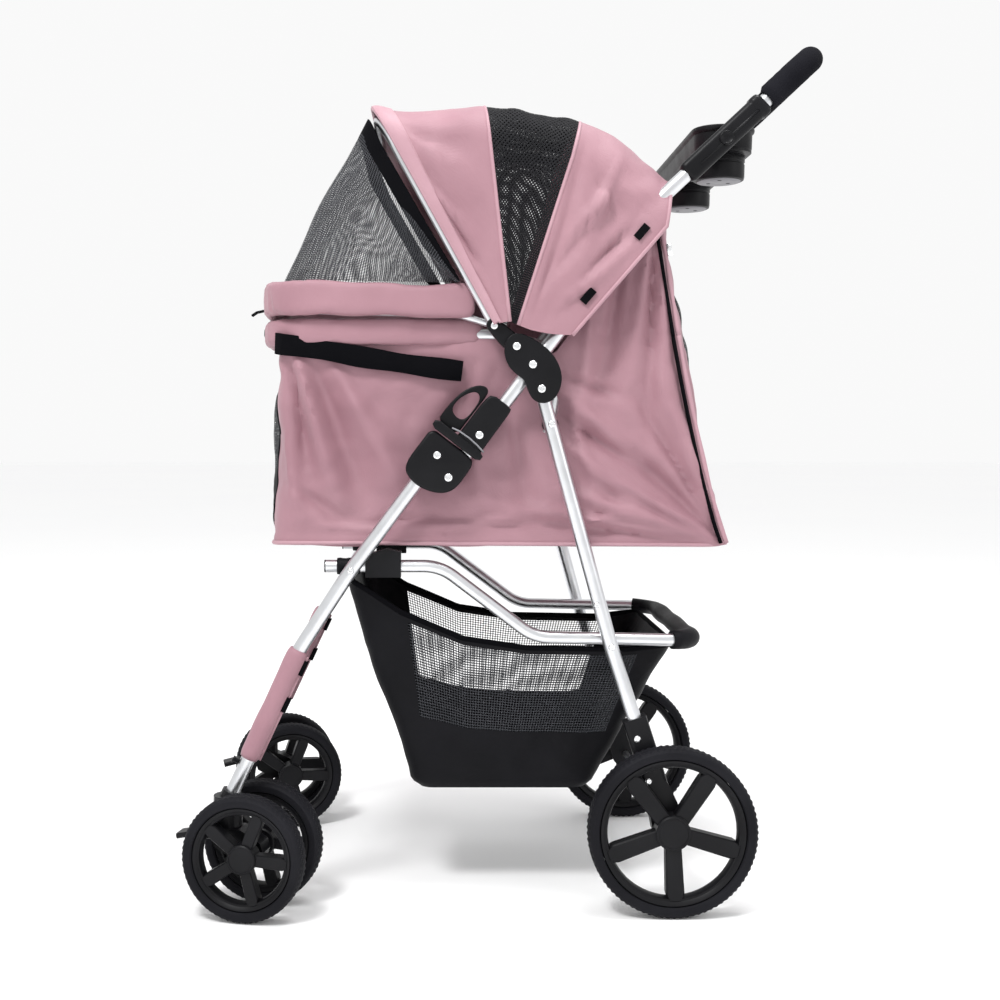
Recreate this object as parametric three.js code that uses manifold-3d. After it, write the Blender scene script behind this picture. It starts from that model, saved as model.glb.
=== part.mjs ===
// Four-wheel folding stroller for a small pet: tube frame, fabric cabin with a hood, wire-framed
// shopping basket, two fixed rear wheels and two swivelling pairs of front wheels.
// Millimetres, +Z up, the stroller faces -X, its left side is -Y. The floor is Z = 0.
import * as THREE from 'three';
import Module from 'manifold-3d';

const wasm = await Module();
wasm.setup();

// ---- driving dimensions -------------------------------------------------------------------
const SIDE_Y = 170; // plane of the handle arms, the rear legs and the front legs
const BASKET_Y = 149; // plane of the basket frame's side tubes
const SEAT_Y = 142; // plane of the seat frame's side tubes
const LEG_R = 8; // outer radius of the arms and legs
const FRAME_R = 7; // outer radius of the basket frame and the seat frame
const CLEAR = 0.35; // air between two pieces that touch in use

// side-view points of the frame, as [x, z]
const FOLD_HINGE = [52, 578]; // the rear legs turn on the hinge plates here
const KNEE = [-51, 480]; // the front legs turn in the latch bodies here
const BASKET_FRONT = [-159, 378.5]; // the basket frame's pin in the front legs
const BASKET_REAR = [130, 292]; // the basket frame's pin in the rear legs
const SEAT_PIN = [63.4, 539]; // the seat frame's pin in the rear legs
const HOOD_HINGE = [24.4, 625]; // the hood's arms turn on the hinge plates here
const BOW_FOOT = [0, 648];
const ARM_FOOT = [-56.4, 472.8]; // lower end of a handle arm
const ARM_BEND = [183, 788];
const GRIP_TOP = [361, 954];
const LEG_TOP = [-60.8, 508.8];
const LEG_PIN = [-159, 377];
const LEG_BEND = [-217, 288];
const LEG_FOOT = [-302, 106];

const REAR_AXLE = [194, 93];
const REAR_R = 93;
const REAR_WIDTH = 26;
const REAR_Y = 193.5; // middle plane of a rear wheel

const SWIVEL_X = -296;
const TRAIL = 30; // from the swivel axis back to the front axle
const FRONT_R = 68.5;
const FRONT_WIDTH = 25;
const PAIR_HALF = 32.5; // from the swivel axis to the middle plane of each front wheel
const CASTER_TURN = 12; // degrees that both pairs stand turned, trailing ends outwards

const CABIN_HALF = 148;
const CABIN_WALL = 5;
const RIM_Z = 640;
const RIM_R = 12; // fabric sleeve round the seat frame
const FRONT_X = -252;

// ---- colours ------------------------------------------------------------------------------
const ROSE = [0xcda0aa, 0.85, 0];
const SATIN = [0xb9bcc0, 0.35, 0.9];
const BLACK = [0x17171a, 0.5, 0];
const FOAM = [0x2b2a2d, 0.95, 0];
const TYRE = [0x1b1b1d, 0.9, 0];
const CHARCOAL = [0x1e1e20, 0.9, 0];
const MESH = [0x4a4a4c, 0.9, 0];

// ---- solids from rings, sheets and plates --------------------------------------------------
function solid(vertices, triangles) {
  const geometry = new THREE.BufferGeometry();
  geometry.setAttribute('position', new THREE.Float32BufferAttribute(vertices.flat(), 3));
  geometry.setIndex(triangles.flat());
  return geometry;
}

// A closed solid through rings of equally many points, with a flat cap on the first and the last.
function loft(rings, joined = false) {
  const count = rings[0].length;
  const vertices = rings.flat();
  const triangles = [];
  const last = joined ? rings.length : rings.length - 1;
  for (let r = 0; r < last; r += 1) {
    const here = r * count;
    const next = ((r + 1) % rings.length) * count;
    for (let k = 0; k < count; k += 1) {
      const j = (k + 1) % count;
      triangles.push([here + k, here + j, next + j], [here + k, next + j, next + k]);
    }
  }
  if (!joined) {
    const end = (rings.length - 1) * count;
    for (let k = 1; k < count - 1; k += 1) {
      triangles.push([0, k + 1, k], [end, end + k, end + k + 1]);
    }
  }
  return outward(solid(vertices, triangles));
}

// Turns every triangle round if the solid came out inside out.
function outward(geometry) {
  const p = geometry.attributes.position;
  const index = geometry.index.array;
  const a = new THREE.Vector3();
  const b = new THREE.Vector3();
  const c = new THREE.Vector3();
  let volume = 0;
  for (let t = 0; t < index.length; t += 3) {
    a.fromBufferAttribute(p, index[t]);
    b.fromBufferAttribute(p, index[t + 1]);
    c.fromBufferAttribute(p, index[t + 2]);
    volume += a.dot(b.cross(c));
  }
  if (volume < 0) {
    for (let t = 0; t < index.length; t += 3) {
      [index[t + 1], index[t + 2]] = [index[t + 2], index[t + 1]];
    }
  }
  return geometry;
}

// Replaces each inner corner of a path by an arc of the given radius, drawn in a few steps.
function roundPath(points, radii, steps = 5) {
  const path = [points[0]];
  for (let i = 1; i < points.length - 1; i += 1) {
    const corner = points[i];
    const back = points[i - 1].clone().sub(corner).normalize();
    const ahead = points[i + 1].clone().sub(corner).normalize();
    const half = back.angleTo(ahead) / 2;
    const cut = radii[i - 1] / Math.tan(half);
    const start = corner.clone().addScaledVector(back, cut);
    const end = corner.clone().addScaledVector(ahead, cut);
    const inward = back.clone().add(ahead).normalize();
    const centre = corner.clone().addScaledVector(inward, radii[i - 1] / Math.sin(half));
    const from = start.clone().sub(centre);
    const to = end.clone().sub(centre);
    const turn = from.angleTo(to);
    for (let s = 0; s <= steps; s += 1) {
      const w = s / steps;
      const p = from.clone().multiplyScalar(Math.sin((1 - w) * turn));
      p.addScaledVector(to, Math.sin(w * turn)).divideScalar(Math.sin(turn));
      path.push(p.add(centre));
    }
  }
  path.push(points[points.length - 1]);
  return path;
}

// A solid bar swept along a path. The section is a list of [sideways, upwards] points.
function sweep(path, section) {
  const rings = [];
  const side = new THREE.Vector3();
  const up = new THREE.Vector3();
  let normal = null;
  path.forEach((point, i) => {
    const into = point.clone().sub(path[Math.max(i - 1, 0)]).normalize();
    const out = path[Math.min(i + 1, path.length - 1)].clone().sub(point).normalize();
    const along = into.clone().add(out).normalize();
    if (normal === null) {
      const hint = Math.abs(along.z) > 0.9 ? [1, 0, 0] : [0, 0, 1];
      normal = new THREE.Vector3(...hint);
    }
    normal.addScaledVector(along, -normal.dot(along)).normalize();
    up.copy(normal);
    side.crossVectors(along, up);
    const bend = into.lengthSq() && out.lengthSq() ? into.angleTo(out) : 0;
    const stretch = 1 / Math.cos(bend / 2);
    const axis = into.clone().cross(out);
    const fold = axis.lengthSq() > 1e-9 ? axis.normalize().cross(along).normalize() : null;
    rings.push(section.map(([s, u]) => {
      const offset = side.clone().multiplyScalar(s).addScaledVector(up, u);
      if (fold) {
        offset.addScaledVector(fold, offset.dot(fold) * (stretch - 1));
      }
      return offset.add(point).toArray();
    }));
  });
  return loft(rings);
}

function ring(radius, sides = 12) {
  return Array.from({ length: sides }, (_, k) => {
    const turn = ((k + 0.5) / sides) * 2 * Math.PI;
    return [radius * Math.cos(turn), radius * Math.sin(turn)];
  });
}

function tube(path, radius, sides = 12) {
  return sweep(path, ring(radius, sides));
}

function roundedBox(halfWidth, halfHeight, corner, steps = 2) {
  const points = [];
  for (let q = 0; q < 4; q += 1) {
    const cx = (q === 0 || q === 3 ? 1 : -1) * (halfWidth - corner);
    const cy = (q < 2 ? 1 : -1) * (halfHeight - corner);
    for (let s = 0; s <= steps; s += 1) {
      const turn = ((q + s / steps) * Math.PI) / 2;
      points.push([cx + corner * Math.cos(turn), cy + corner * Math.sin(turn)]);
    }
  }
  return points;
}

function at([x, z], y) {
  return new THREE.Vector3(x, y, z);
}

// A bar between two points, round unless another section is given.
function bar(from, to, section) {
  return sweep([from, to], typeof section === 'number' ? ring(section, 16) : section);
}

// A thin closed solid between a grid of points and the same grid pushed inwards.
function sheet(outer, inner) {
  const rows = outer.length;
  const columns = outer[0].length;
  const vertices = [...outer.flat(), ...inner.flat()];
  const under = rows * columns;
  const triangles = [];
  const quad = (a, b, c, d) => triangles.push([a, b, c], [a, c, d]);
  for (let r = 0; r < rows - 1; r += 1) {
    for (let c = 0; c < columns - 1; c += 1) {
      const k = r * columns + c;
      quad(k, k + 1, k + columns + 1, k + columns);
      quad(under + k, under + k + columns, under + k + columns + 1, under + k + 1);
    }
  }
  const rim = [];
  for (let c = 0; c < columns - 1; c += 1) rim.push(c);
  for (let r = 0; r < rows - 1; r += 1) rim.push(r * columns + columns - 1);
  for (let c = columns - 1; c > 0; c -= 1) rim.push((rows - 1) * columns + c);
  for (let r = rows - 1; r > 0; r -= 1) rim.push(r * columns);
  rim.forEach((k, n) => {
    const j = rim[(n + 1) % rim.length];
    quad(j, k, under + k, under + j);
  });
  return outward(solid(vertices, triangles));
}

// A plate cut to a side-view outline, from one distance to another off the middle plane.
function plate(outline, near, far, side) {
  const shape = outline instanceof THREE.Shape ? outline : new THREE.Shape(
    outline.map(([x, z]) => new THREE.Vector2(x, z)));
  const geometry = new THREE.ExtrudeGeometry(shape, {
    depth: far - near, bevelEnabled: false, curveSegments: 6,
  });
  geometry.rotateX(Math.PI / 2);
  geometry.translate(0, side < 0 ? -near : far, 0);
  return geometry;
}

// The outline round two circles.
function link([x1, z1], r1, [x2, z2], r2, steps = 8) {
  const heading = Math.atan2(z2 - z1, x2 - x1);
  const lean = Math.acos((r1 - r2) / Math.hypot(x2 - x1, z2 - z1));
  const outline = [];
  for (let s = 0; s <= steps; s += 1) {
    const turn = heading + lean + ((2 * Math.PI - 2 * lean) * s) / steps;
    outline.push([x1 + r1 * Math.cos(turn), z1 + r1 * Math.sin(turn)]);
  }
  for (let s = 0; s <= steps; s += 1) {
    const turn = heading - lean + (2 * lean * s) / steps;
    outline.push([x2 + r2 * Math.cos(turn), z2 + r2 * Math.sin(turn)]);
  }
  return outline;
}

// ---- adding and cutting solids ---------------------------------------------------------------
function toManifold(geometry) {
  const p = geometry.attributes.position;
  const seen = new Map();
  const vertices = [];
  const merged = [];
  for (let i = 0; i < p.count; i += 1) {
    const v = [p.getX(i), p.getY(i), p.getZ(i)];
    const key = v.map((c) => Math.round(c * 1e4)).join();
    if (!seen.has(key)) {
      seen.set(key, vertices.length / 3);
      vertices.push(...v);
    }
    merged.push(seen.get(key));
  }
  const index = geometry.index ? [...geometry.index.array] : merged.map((_, i) => i);
  const triangles = [];
  for (let t = 0; t < index.length; t += 3) {
    const [a, b, c] = [merged[index[t]], merged[index[t + 1]], merged[index[t + 2]]];
    if (a !== b && b !== c && a !== c) triangles.push(a, b, c);
  }
  return new wasm.Manifold(new wasm.Mesh({
    numProp: 3,
    vertProperties: new Float32Array(vertices),
    triVerts: new Uint32Array(triangles),
  }));
}

function fromManifold(body) {
  const mesh = body.getMesh();
  const geometry = new THREE.BufferGeometry();
  geometry.setAttribute('position', new THREE.Float32BufferAttribute(mesh.vertProperties, 3));
  geometry.setIndex([...mesh.triVerts]);
  return geometry;
}

function join(...geometries) {
  return fromManifold(geometries.map(toManifold).reduce((sum, next) => sum.add(next)));
}

function cut(geometry, ...tools) {
  return fromManifold(tools.map(toManifold).reduce((left, tool) => left.subtract(tool),
    toManifold(geometry)));
}

function common(...geometries) {
  return fromManifold(geometries.map(toManifold).reduce((left, next) => left.intersect(next)));
}

// ---- the group ---------------------------------------------------------------------------------
const stroller = new THREE.Group();
stroller.name = 'pet_stroller';

function add(name, geometry, [color, roughness, metalness]) {
  geometry.computeVertexNormals();
  const material = new THREE.MeshStandardMaterial({ color, roughness, metalness });
  const mesh = new THREE.Mesh(geometry, material);
  mesh.name = name;
  stroller.add(mesh);
}

const SIDES = [['left', -1], ['right', 1]];

// The point a share of the way from a to b, in the side view.
function between(a, b, share) {
  return [a[0] + (b[0] - a[0]) * share, a[1] + (b[1] - a[1]) * share];
}

function unit(a, b) {
  const length = Math.hypot(b[0] - a[0], b[1] - a[1]);
  return [(b[0] - a[0]) / length, (b[1] - a[1]) / length];
}

// The point along and to the left of a line that starts at a and heads for b.
function offset(a, b, along, left) {
  const [ux, uz] = unit(a, b);
  return [a[0] + ux * along - uz * left, a[1] + uz * along + ux * left];
}

// ---- rear frame ----------------------------------------------------------------------------------
const REAR_LEG_FOOT = between(BASKET_REAR, REAR_AXLE, 0.78);

function rearLegs() {
  for (const [name, side] of SIDES) {
    const y = side * SIDE_Y;
    const path = [at(FOLD_HINGE, y), at(BASKET_REAR, y), at(REAR_LEG_FOOT, y)];
    add(`rear_leg_${name}`, tube(path, LEG_R, 12), SATIN);
    const top = between(BASKET_REAR, REAR_AXLE, 0.4);
    const body = join(
      bar(at(top, y), at(REAR_AXLE, y), roundedBox(9.4, 13.5, 4)),
      plate(link(REAR_AXLE, 19, between(BASKET_REAR, REAR_AXLE, 0.8), 14), SIDE_Y - 9.4,
        SIDE_Y + 9.4, side),
    );
    const bored = cut(body, tube([at(FOLD_HINGE, y), at(BASKET_REAR, y),
      at(between(BASKET_REAR, REAR_AXLE, 0.785), y)], LEG_R + CLEAR, 12),
      bar(at(REAR_AXLE, y - 20), at(REAR_AXLE, y + 20), 4 + CLEAR));
    add(`rear_bracket_${name}`, bored, BLACK);
  }
  const reach = REAR_Y + 6;
  add('rear_axle', bar(at(REAR_AXLE, -reach), at(REAR_AXLE, reach), 4), SATIN);
}

function seatPath() {
  const down = [at([7, RIM_Z], -SEAT_Y), at([58, 627], -SEAT_Y), at([71, 577], -SEAT_Y),
    at([61, 529], -SEAT_Y)].reverse();
  const front = [at([FRONT_X, RIM_Z], -SEAT_Y), at([FRONT_X, RIM_Z], SEAT_Y)];
  const up = down.map((p) => new THREE.Vector3(p.x, SEAT_Y, p.z)).reverse();
  return roundPath([...down, ...front, ...up], [40, 22, 60, 50, 50, 60, 22, 40], 2);
}

// Outline of the cabin's side: a tub with a tall back that rises along the handle arms.
const CABIN_SIDE = [[-243, RIM_Z], [-236, 600], [-237, 490], [-252, 409], [-238, 401],
  [252, 401], [266, 412], [240, 560], [193, 792], [184, 780], [50, 618], [20, RIM_Z]];

function cabin() {
  const block = plate(CABIN_SIDE, -CABIN_HALF, CABIN_HALF, 1);
  const w = CABIN_WALL;
  const column = (inset) => {
    const plan = new THREE.Shape(roundedBox(259 - inset, CABIN_HALF - inset, 26 - inset, 3)
      .map(([x, y]) => new THREE.Vector2(x + 7, y)));
    const geometry = new THREE.ExtrudeGeometry(plan, { depth: 460, bevelEnabled: false });
    return geometry.translate(0, 0, 390);
  };
  const outer = common(block, column(0));
  const inside = [[-243 + w, 700], [-236 + w, 600], [-237 + w, 490], [-252 + w + 2, 411],
    [252, 401 + 2 * w], [258, 418], [240 - w, 560], [184, 830]];
  const hollow = common(plate(inside, -CABIN_HALF, CABIN_HALF, 1), column(w));
  const held = seatPath().filter((p) => p.x < -30);
  const sleeve = tube([at([-20, RIM_Z], -SEAT_Y), ...held, at([-20, RIM_Z], SEAT_Y)], RIM_R, 10);
  const tunnel = tube(seatPath(), FRAME_R + CLEAR, 10);
  add('cabin', cut(join(cut(outer, hollow), sleeve), tunnel), ROSE);
}

function seatFrame() {
  add('seat_frame', tube(seatPath(), FRAME_R, 10), SATIN);
  for (const [name, side] of SIDES) {
    const near = SEAT_Y + FRAME_R + CLEAR;
    const spacer = bar(at(SEAT_PIN, side * near), at(SEAT_PIN, side * (SIDE_Y - LEG_R - CLEAR)),
      9);
    add(`seat_spacer_${name}`, spacer, BLACK);
  }
}

// ---- handle frame ----------------------------------------------------------------------------------
function handlePath() {
  const left = [ARM_FOOT, ARM_BEND, GRIP_TOP].map((p) => at(p, -SIDE_Y));
  const right = [GRIP_TOP, ARM_BEND, ARM_FOOT].map((p) => at(p, SIDE_Y));
  return roundPath([...left, ...right], [90, 42, 42, 90], 3);
}

function handle() {
  const path = handlePath();
  add('handle_tube', tube(path, LEG_R, 12), SATIN);
  const gripStart = between(ARM_BEND, GRIP_TOP, 0.68);
  const start = at(gripStart, -SIDE_Y);
  const end = at(gripStart, SIDE_Y);
  const held = path.filter((p) => p.x > gripStart[0] + 1);
  add('foam_grip', cut(tube([start, ...held, end], 14.5, 12), tube(path, LEG_R + CLEAR, 12)),
    FOAM);
  for (const [name, side] of SIDES) {
    const low = between(ARM_BEND, GRIP_TOP, 0.17);
    const high = between(ARM_BEND, GRIP_TOP, 0.655);
    const y = side * SIDE_Y;
    const body = bar(at(low, y), at(high, y), roundedBox(10.5, 12.5, 5, 2));
    add(`arm_sleeve_${name}`, cut(body, tube(path, LEG_R + CLEAR, 12)), BLACK);
  }
}

const TRAY_X = 265;
const TRAY_TOP = 878;

function tray() {
  const slab = (halfX, halfY, low, high, corner) => {
    const shape = new THREE.Shape(roundedBox(halfX, halfY, corner, 3)
      .map(([x, y]) => new THREE.Vector2(x, y)));
    const geometry = new THREE.ExtrudeGeometry(shape, { depth: high - low, bevelEnabled: false });
    return geometry.translate(TRAY_X, 0, low);
  };
  const cup = (y, radius, low, high) => bar(new THREE.Vector3(TRAY_X, y, low),
    new THREE.Vector3(TRAY_X, y, high), ring(radius, 16));
  const body = join(slab(33, 148, 851, TRAY_TOP, 28), slab(36, 152, 872, TRAY_TOP, 31),
    slab(12, 158.8, 858, 870, 3), cup(-98, 30, 822, 856), cup(98, 30, 822, 856));
  const hollow = slab(29, 144, 855, 885, 25);
  add('tray', cut(body, hollow, cup(-98, 26.5, 826, 866), cup(98, 26.5, 826, 866)), BLACK);
}

const PLATE_IN = SIDE_Y + LEG_R + CLEAR;

function hingePlates() {
  const [rx, rz] = HOOD_HINGE;
  const outline = [[rx - 13, rz + 2], [rx - 9, rz + 11], [rx, rz + 15], [rx + 12, rz + 12],
    [56, 625], [68, 612], [75, 594], [73, 578], [66, 566], [54, 561], [43, 565],
    [37, 575], [33, 588], [24, 594], [15, 603], [rx - 14, rz - 8]];
  for (const [name, side] of SIDES) {
    add(`hinge_plate_${name}`, plate(outline, PLATE_IN, PLATE_IN + 4.5, side), BLACK);
  }
}

// The latch on each side, drawn from the knee: up along the arm, then to the arm's left.
function knee(along, left) {
  return offset(KNEE, ARM_BEND, along, left);
}

const CHEEK_IN = LEG_R + CLEAR; // from the middle of an arm
const CHEEK_OUT = CHEEK_IN + 5;

// The lower body holds the top of the front leg. The arm's foot turns between its two cheeks.
function latchLower(name, side) {
  const outline = [knee(-22, 44), knee(-10, 48), knee(32.8, 48), knee(32.8, -2), knee(30, -13),
    knee(6, -14.5), knee(-8, -13), knee(-18, -6), knee(-25, 7), knee(-28, 20), knee(-27, 34)];
  const web = [knee(-22, 44), knee(-10, 48), knee(32.8, 48), knee(32.8, 14), knee(-26.5, 14),
    knee(-28, 20), knee(-27, 34)];
  const body = join(
    plate(outline, SIDE_Y - CHEEK_OUT, SIDE_Y - CHEEK_IN, side),
    plate(outline, SIDE_Y + CHEEK_IN, SIDE_Y + CHEEK_OUT, side),
    plate(web, SIDE_Y - CHEEK_OUT, SIDE_Y + CHEEK_OUT, side),
  );
  add(`latch_lower_${name}`, cut(body, tube(legPath(side), LEG_R + CLEAR, 12)), BLACK);
}

// The upper body is fixed round the arm, above the lower body.
function latchUpper(name, side) {
  const outline = [knee(34.2, -12), knee(34.2, 20), knee(92, 20), knee(103, 17), knee(103, -9),
    knee(98, -11)];
  const body = plate(outline, SIDE_Y - 13, SIDE_Y + 13, side);
  add(`latch_upper_${name}`, cut(body, tube(handlePath(), LEG_R + CLEAR, 12)), BLACK);
}

// The slider is a band round the upper body with a finger loop beside it.
function latchSlider(name, side) {
  const band = cut(
    plate([knee(33.6, -16), knee(43.6, -16.5), knee(44.6, 50), knee(34, 50)],
      SIDE_Y - 16.5, SIDE_Y + 16.5, side),
    plate([knee(20, -12.4), knee(60, -12.4), knee(60, 20.4), knee(20, 20.4)],
      SIDE_Y - 13.4, SIDE_Y + 13.4, side),
  );
  const loop = new THREE.Shape([[43, 48], [43, 21], [99, 20.6], [104, 23], [105.5, 28],
    [102, 35], [93, 42], [80, 46.5], [62, 48.5]].map((p) => new THREE.Vector2(...knee(...p))));
  loop.holes.push(new THREE.Path(link(knee(68, 33.5), 10, knee(84, 32), 9.5, 6)
    .map(([x, z]) => new THREE.Vector2(x, z)).reverse()));
  add(`latch_slider_${name}`, join(band, plate(loop, SIDE_Y - 4, SIDE_Y + 4, side)), BLACK);
}

function latches() {
  for (const [name, side] of SIDES) {
    latchLower(name, side);
    latchUpper(name, side);
    latchSlider(name, side);
  }
}

// ---- hood ----------------------------------------------------------------------------------------
const ARM_IN = 167;
const ARM_OUT = 177.8;
const BOW_Y = 170.5;
const GATE_Y = 157;
const BOW_TOP = [-132, 888];

function bow() {
  const left = [BOW_FOOT, BOW_TOP].map((p) => at(p, -BOW_Y));
  const right = [BOW_TOP, BOW_FOOT].map((p) => at(p, BOW_Y));
  return roundPath([...left, ...right], [60, 60], 4);
}

function gatePath() {
  const side = [[14, 646], [-40, 662], [-256, 668]];
  const left = side.map((p) => at(p, -GATE_Y));
  const right = side.map((p) => at(p, GATE_Y)).reverse();
  return roundPath([...left, ...right], [30, 58, 58, 30], 3);
}

function hoodFrame() {
  add('hood_bow', tube(bow(), 5, 10), SATIN);
  for (const [name, side] of SIDES) {
    const arm = plate(link(HOOD_HINGE, 11, BOW_FOOT, 9.5), ARM_IN - 2, ARM_OUT, side);
    const foot = bar(at(offset(BOW_FOOT, BOW_TOP, -2, 0), side * BOW_Y),
      at(offset(BOW_FOOT, BOW_TOP, 40, 0), side * BOW_Y), 5 + CLEAR);
    add(`hood_arm_${name}`, cut(arm, foot), BLACK);
  }
  add('gate_frame', tube(gatePath(), 4, 8), SATIN);
}

// Padded band round the gate frame, below the front mesh.
function gateSleeve() {
  const level = (x) => 677 - (x + 24) * 0.02;
  const side = [[-24, level(-24)], [-256, level(-256)]];
  const left = side.map((p) => at(p, -GATE_Y));
  const right = side.map((p) => at(p, GATE_Y)).reverse();
  const band = sweep(roundPath([...left, ...right], [58, 58], 3), roundedBox(7.5, 20, 6, 1));
  add('gate_sleeve', cut(band, tube(gatePath(), 4 + CLEAR, 8)), ROSE);
}

// One hoop of the hood's cloth: from the foot up to the shoulder, round a corner and across.
function hoop(foot, shoulder, top, half, corner) {
  const flat = [[...foot, half], [...between(foot, shoulder, 0.5), half]];
  for (let s = 0; s <= 3; s += 1) {
    const a = (s / 3) * (Math.PI / 2);
    const [x, z] = between(shoulder, top, Math.sin(a));
    flat.push([x, z, half - corner * (1 - Math.cos(a))]);
  }
  flat.push([top[0], top[1] + 3, half * 0.35]);
  const mirrored = flat.map(([x, z, y]) => [x, y, z]).reverse();
  return [...flat.map(([x, z, y]) => [x, -y, z]), [top[0], 0, top[1] + 4], ...mirrored];
}

// The same hoop pushed inwards by a thickness.
function innerHoop(foot, shoulder, top, half, corner, thickness) {
  const [dx, dz] = unit(foot, top);
  const lowered = ([x, z]) => [x - dx * thickness, z - dz * thickness];
  return hoop(foot, lowered(shoulder), lowered(top), half - thickness, corner - thickness);
}

function canopy() {
  const hoops = [
    [[2, 652], [-113, 857], [-136, 897], 180.6],
    [[8, 654], [-86, 852], [-105, 894], 182],
    [[17, 657], [-5, 850], [-10, 898], 184],
    [[22, 658], [43, 848], [48, 893], 185],
    [[28, 657], [86, 834], [98, 880], 186],
    [[40, 652], [120, 806], [143, 857], 186],
    [[68, 646], [170, 770], [184, 826], 186],
  ];
  const outer = hoops.map(([f, s, t, w]) => hoop(f, s, t, w, 46));
  const inner = hoops.map(([f, s, t, w]) => innerHoop(f, s, t, w, 46, 2.2));
  add('canopy', sheet(outer, inner), ROSE);
}

// The mesh front between the hood's bow and the gate.
function frontMesh() {
  const rimLine = (half, nose) => {
    const corner = 52;
    const flat = [[-40, half], [(nose - 40) * 0.55, half]];
    for (let s = 0; s <= 3; s += 1) {
      const a = (s / 3) * (Math.PI / 2);
      flat.push([nose + corner * (1 - Math.sin(a)), half - corner * (1 - Math.cos(a))]);
    }
    flat.push([nose - 1, half * 0.35]);
    const left = flat.map(([x, y]) => [x, -y]);
    const right = flat.map(([x, y]) => [x, y]).reverse();
    return [...left, [nose - 2, 0], ...right].map(([x, y]) => [x, y,
      697.6 - (x + 24) * 0.02]);
  };
  const rows = (inset) => {
    const top = innerHoop([-39, 697.6], [-133, 851], [-153, 885], 174, 46, inset);
    const low = rimLine(161 - inset, -250 + inset);
    return [0, 0.33, 0.66, 1].map((w) => top.map((p, k) => {
      const q = low[k];
      const puff = 4 * Math.sin(Math.PI * w) * Math.min(1, (p[2] - 690) / 80);
      const x = p[0] * (1 - w) + q[0] * w - puff * 0.8;
      const z = p[2] * (1 - w) + q[2] * w + puff * 0.4;
      return [x, p[1] * (1 - w) + q[1] * w, z];
    }));
  };
  add('front_mesh', sheet(rows(0), rows(1.8)), MESH);
}

// ---- front frame ----------------------------------------------------------------------------------
function legPath(side) {
  const points = [LEG_TOP, LEG_PIN, LEG_BEND, LEG_FOOT].map((p) => at(p, side * SIDE_Y));
  return roundPath(points, [160, 160], 2);
}

function frontLegs() {
  for (const [name, side] of SIDES) {
    const y = side * SIDE_Y;
    add(`front_leg_${name}`, tube(legPath(side), LEG_R, 12), SATIN);
    const thick = tube(legPath(side), LEG_R + CLEAR, 12);
    const wrap = bar(at(LEG_BEND, y), at(between(LEG_BEND, LEG_FOOT, 0.66), y), 11.5);
    add(`leg_sleeve_${name}`, cut(wrap, thick), ROSE);
    const housing = join(
      bar(new THREE.Vector3(SWIVEL_X, y, 93), new THREE.Vector3(SWIVEL_X, y, 127), 16),
      bar(at(LEG_FOOT, y), at(between(LEG_FOOT, LEG_BEND, 0.135), y), 12),
    );
    add(`caster_housing_${name}`, cut(housing, thick), BLACK);
  }
  const cross = between(LEG_BEND, LEG_FOOT, -0.06);
  const reach = SIDE_Y - LEG_R - CLEAR;
  add('front_cross_bar', bar(at(cross, -reach), at(cross, reach), 6), SATIN);
}

// ---- basket ----------------------------------------------------------------------------------------
function basketPath() {
  const side = [[-190, 379], [-60, 379], [46, 299], [228, 295]];
  const left = side.map((p) => at(p, -BASKET_Y));
  const right = side.map((p) => at(p, BASKET_Y)).reverse();
  return roundPath([...left, ...right], [55, 55, 34, 34, 55, 55], 2);
}

// Points round a level section of the basket.
function basketRing(x0, x1, half, z0, z1, corner = 14) {
  const centre = (x0 + x1) / 2;
  return roundedBox((x1 - x0) / 2, half, corner, 2).map(([x, y]) => [
    centre + x, y, z0 + ((centre + x - x0) / (x1 - x0)) * (z1 - z0)]);
}

function basket() {
  const outer = [basketRing(-82, 108, 112, 119, 119), basketRing(-92, 117, 117, 127, 126),
    basketRing(-112, 150, 126, 192, 192), basketRing(-146, 205, 139, 290, 285),
    basketRing(-156, 214, 140, 338, 284)];
  const inner = [basketRing(-87, 112, 113, 130, 130), basketRing(-108, 146, 122, 194, 194),
    basketRing(-142, 201, 135, 290, 285), basketRing(-154, 213, 137, 360, 300)];
  add('basket', cut(loft(outer), loft(inner)), CHARCOAL);
  add('basket_frame', tube(basketPath(), FRAME_R, 10), SATIN);
  for (const [name, side] of SIDES) {
    const outside = BASKET_Y + FRAME_R + CLEAR;
    const clip = cut(plate([[-144, 367], [-104, 367], [-104, 396], [-120, 399], [-144, 392]],
      BASKET_Y - 9.5, outside + 3, side), tube(basketPath(), FRAME_R + CLEAR, 10));
    add(`basket_clip_${name}`, clip, BLACK);
    add(`basket_spacer_${name}`, bar(at(BASKET_FRONT, side * outside),
      at(BASKET_FRONT, side * (SIDE_Y - LEG_R - CLEAR)), 8), BLACK);
  }
}

// ---- wheels ----------------------------------------------------------------------------------------
// A tyre as a lathed ring. The wheel's axis is Y and its middle plane is y = 0.
function tyre(radius, width, depth) {
  const h = width / 2;
  const profile = [[radius - depth, -h * 0.8], [radius - 4.5, -h], [radius, -h * 0.5],
    [radius, h * 0.5], [radius - 4.5, h], [radius - depth, h * 0.8], [radius - depth, -h * 0.8]];
  const points = profile.map(([r, y]) => new THREE.Vector2(r, y));
  return new THREE.LatheGeometry(points, 30);
}

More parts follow.
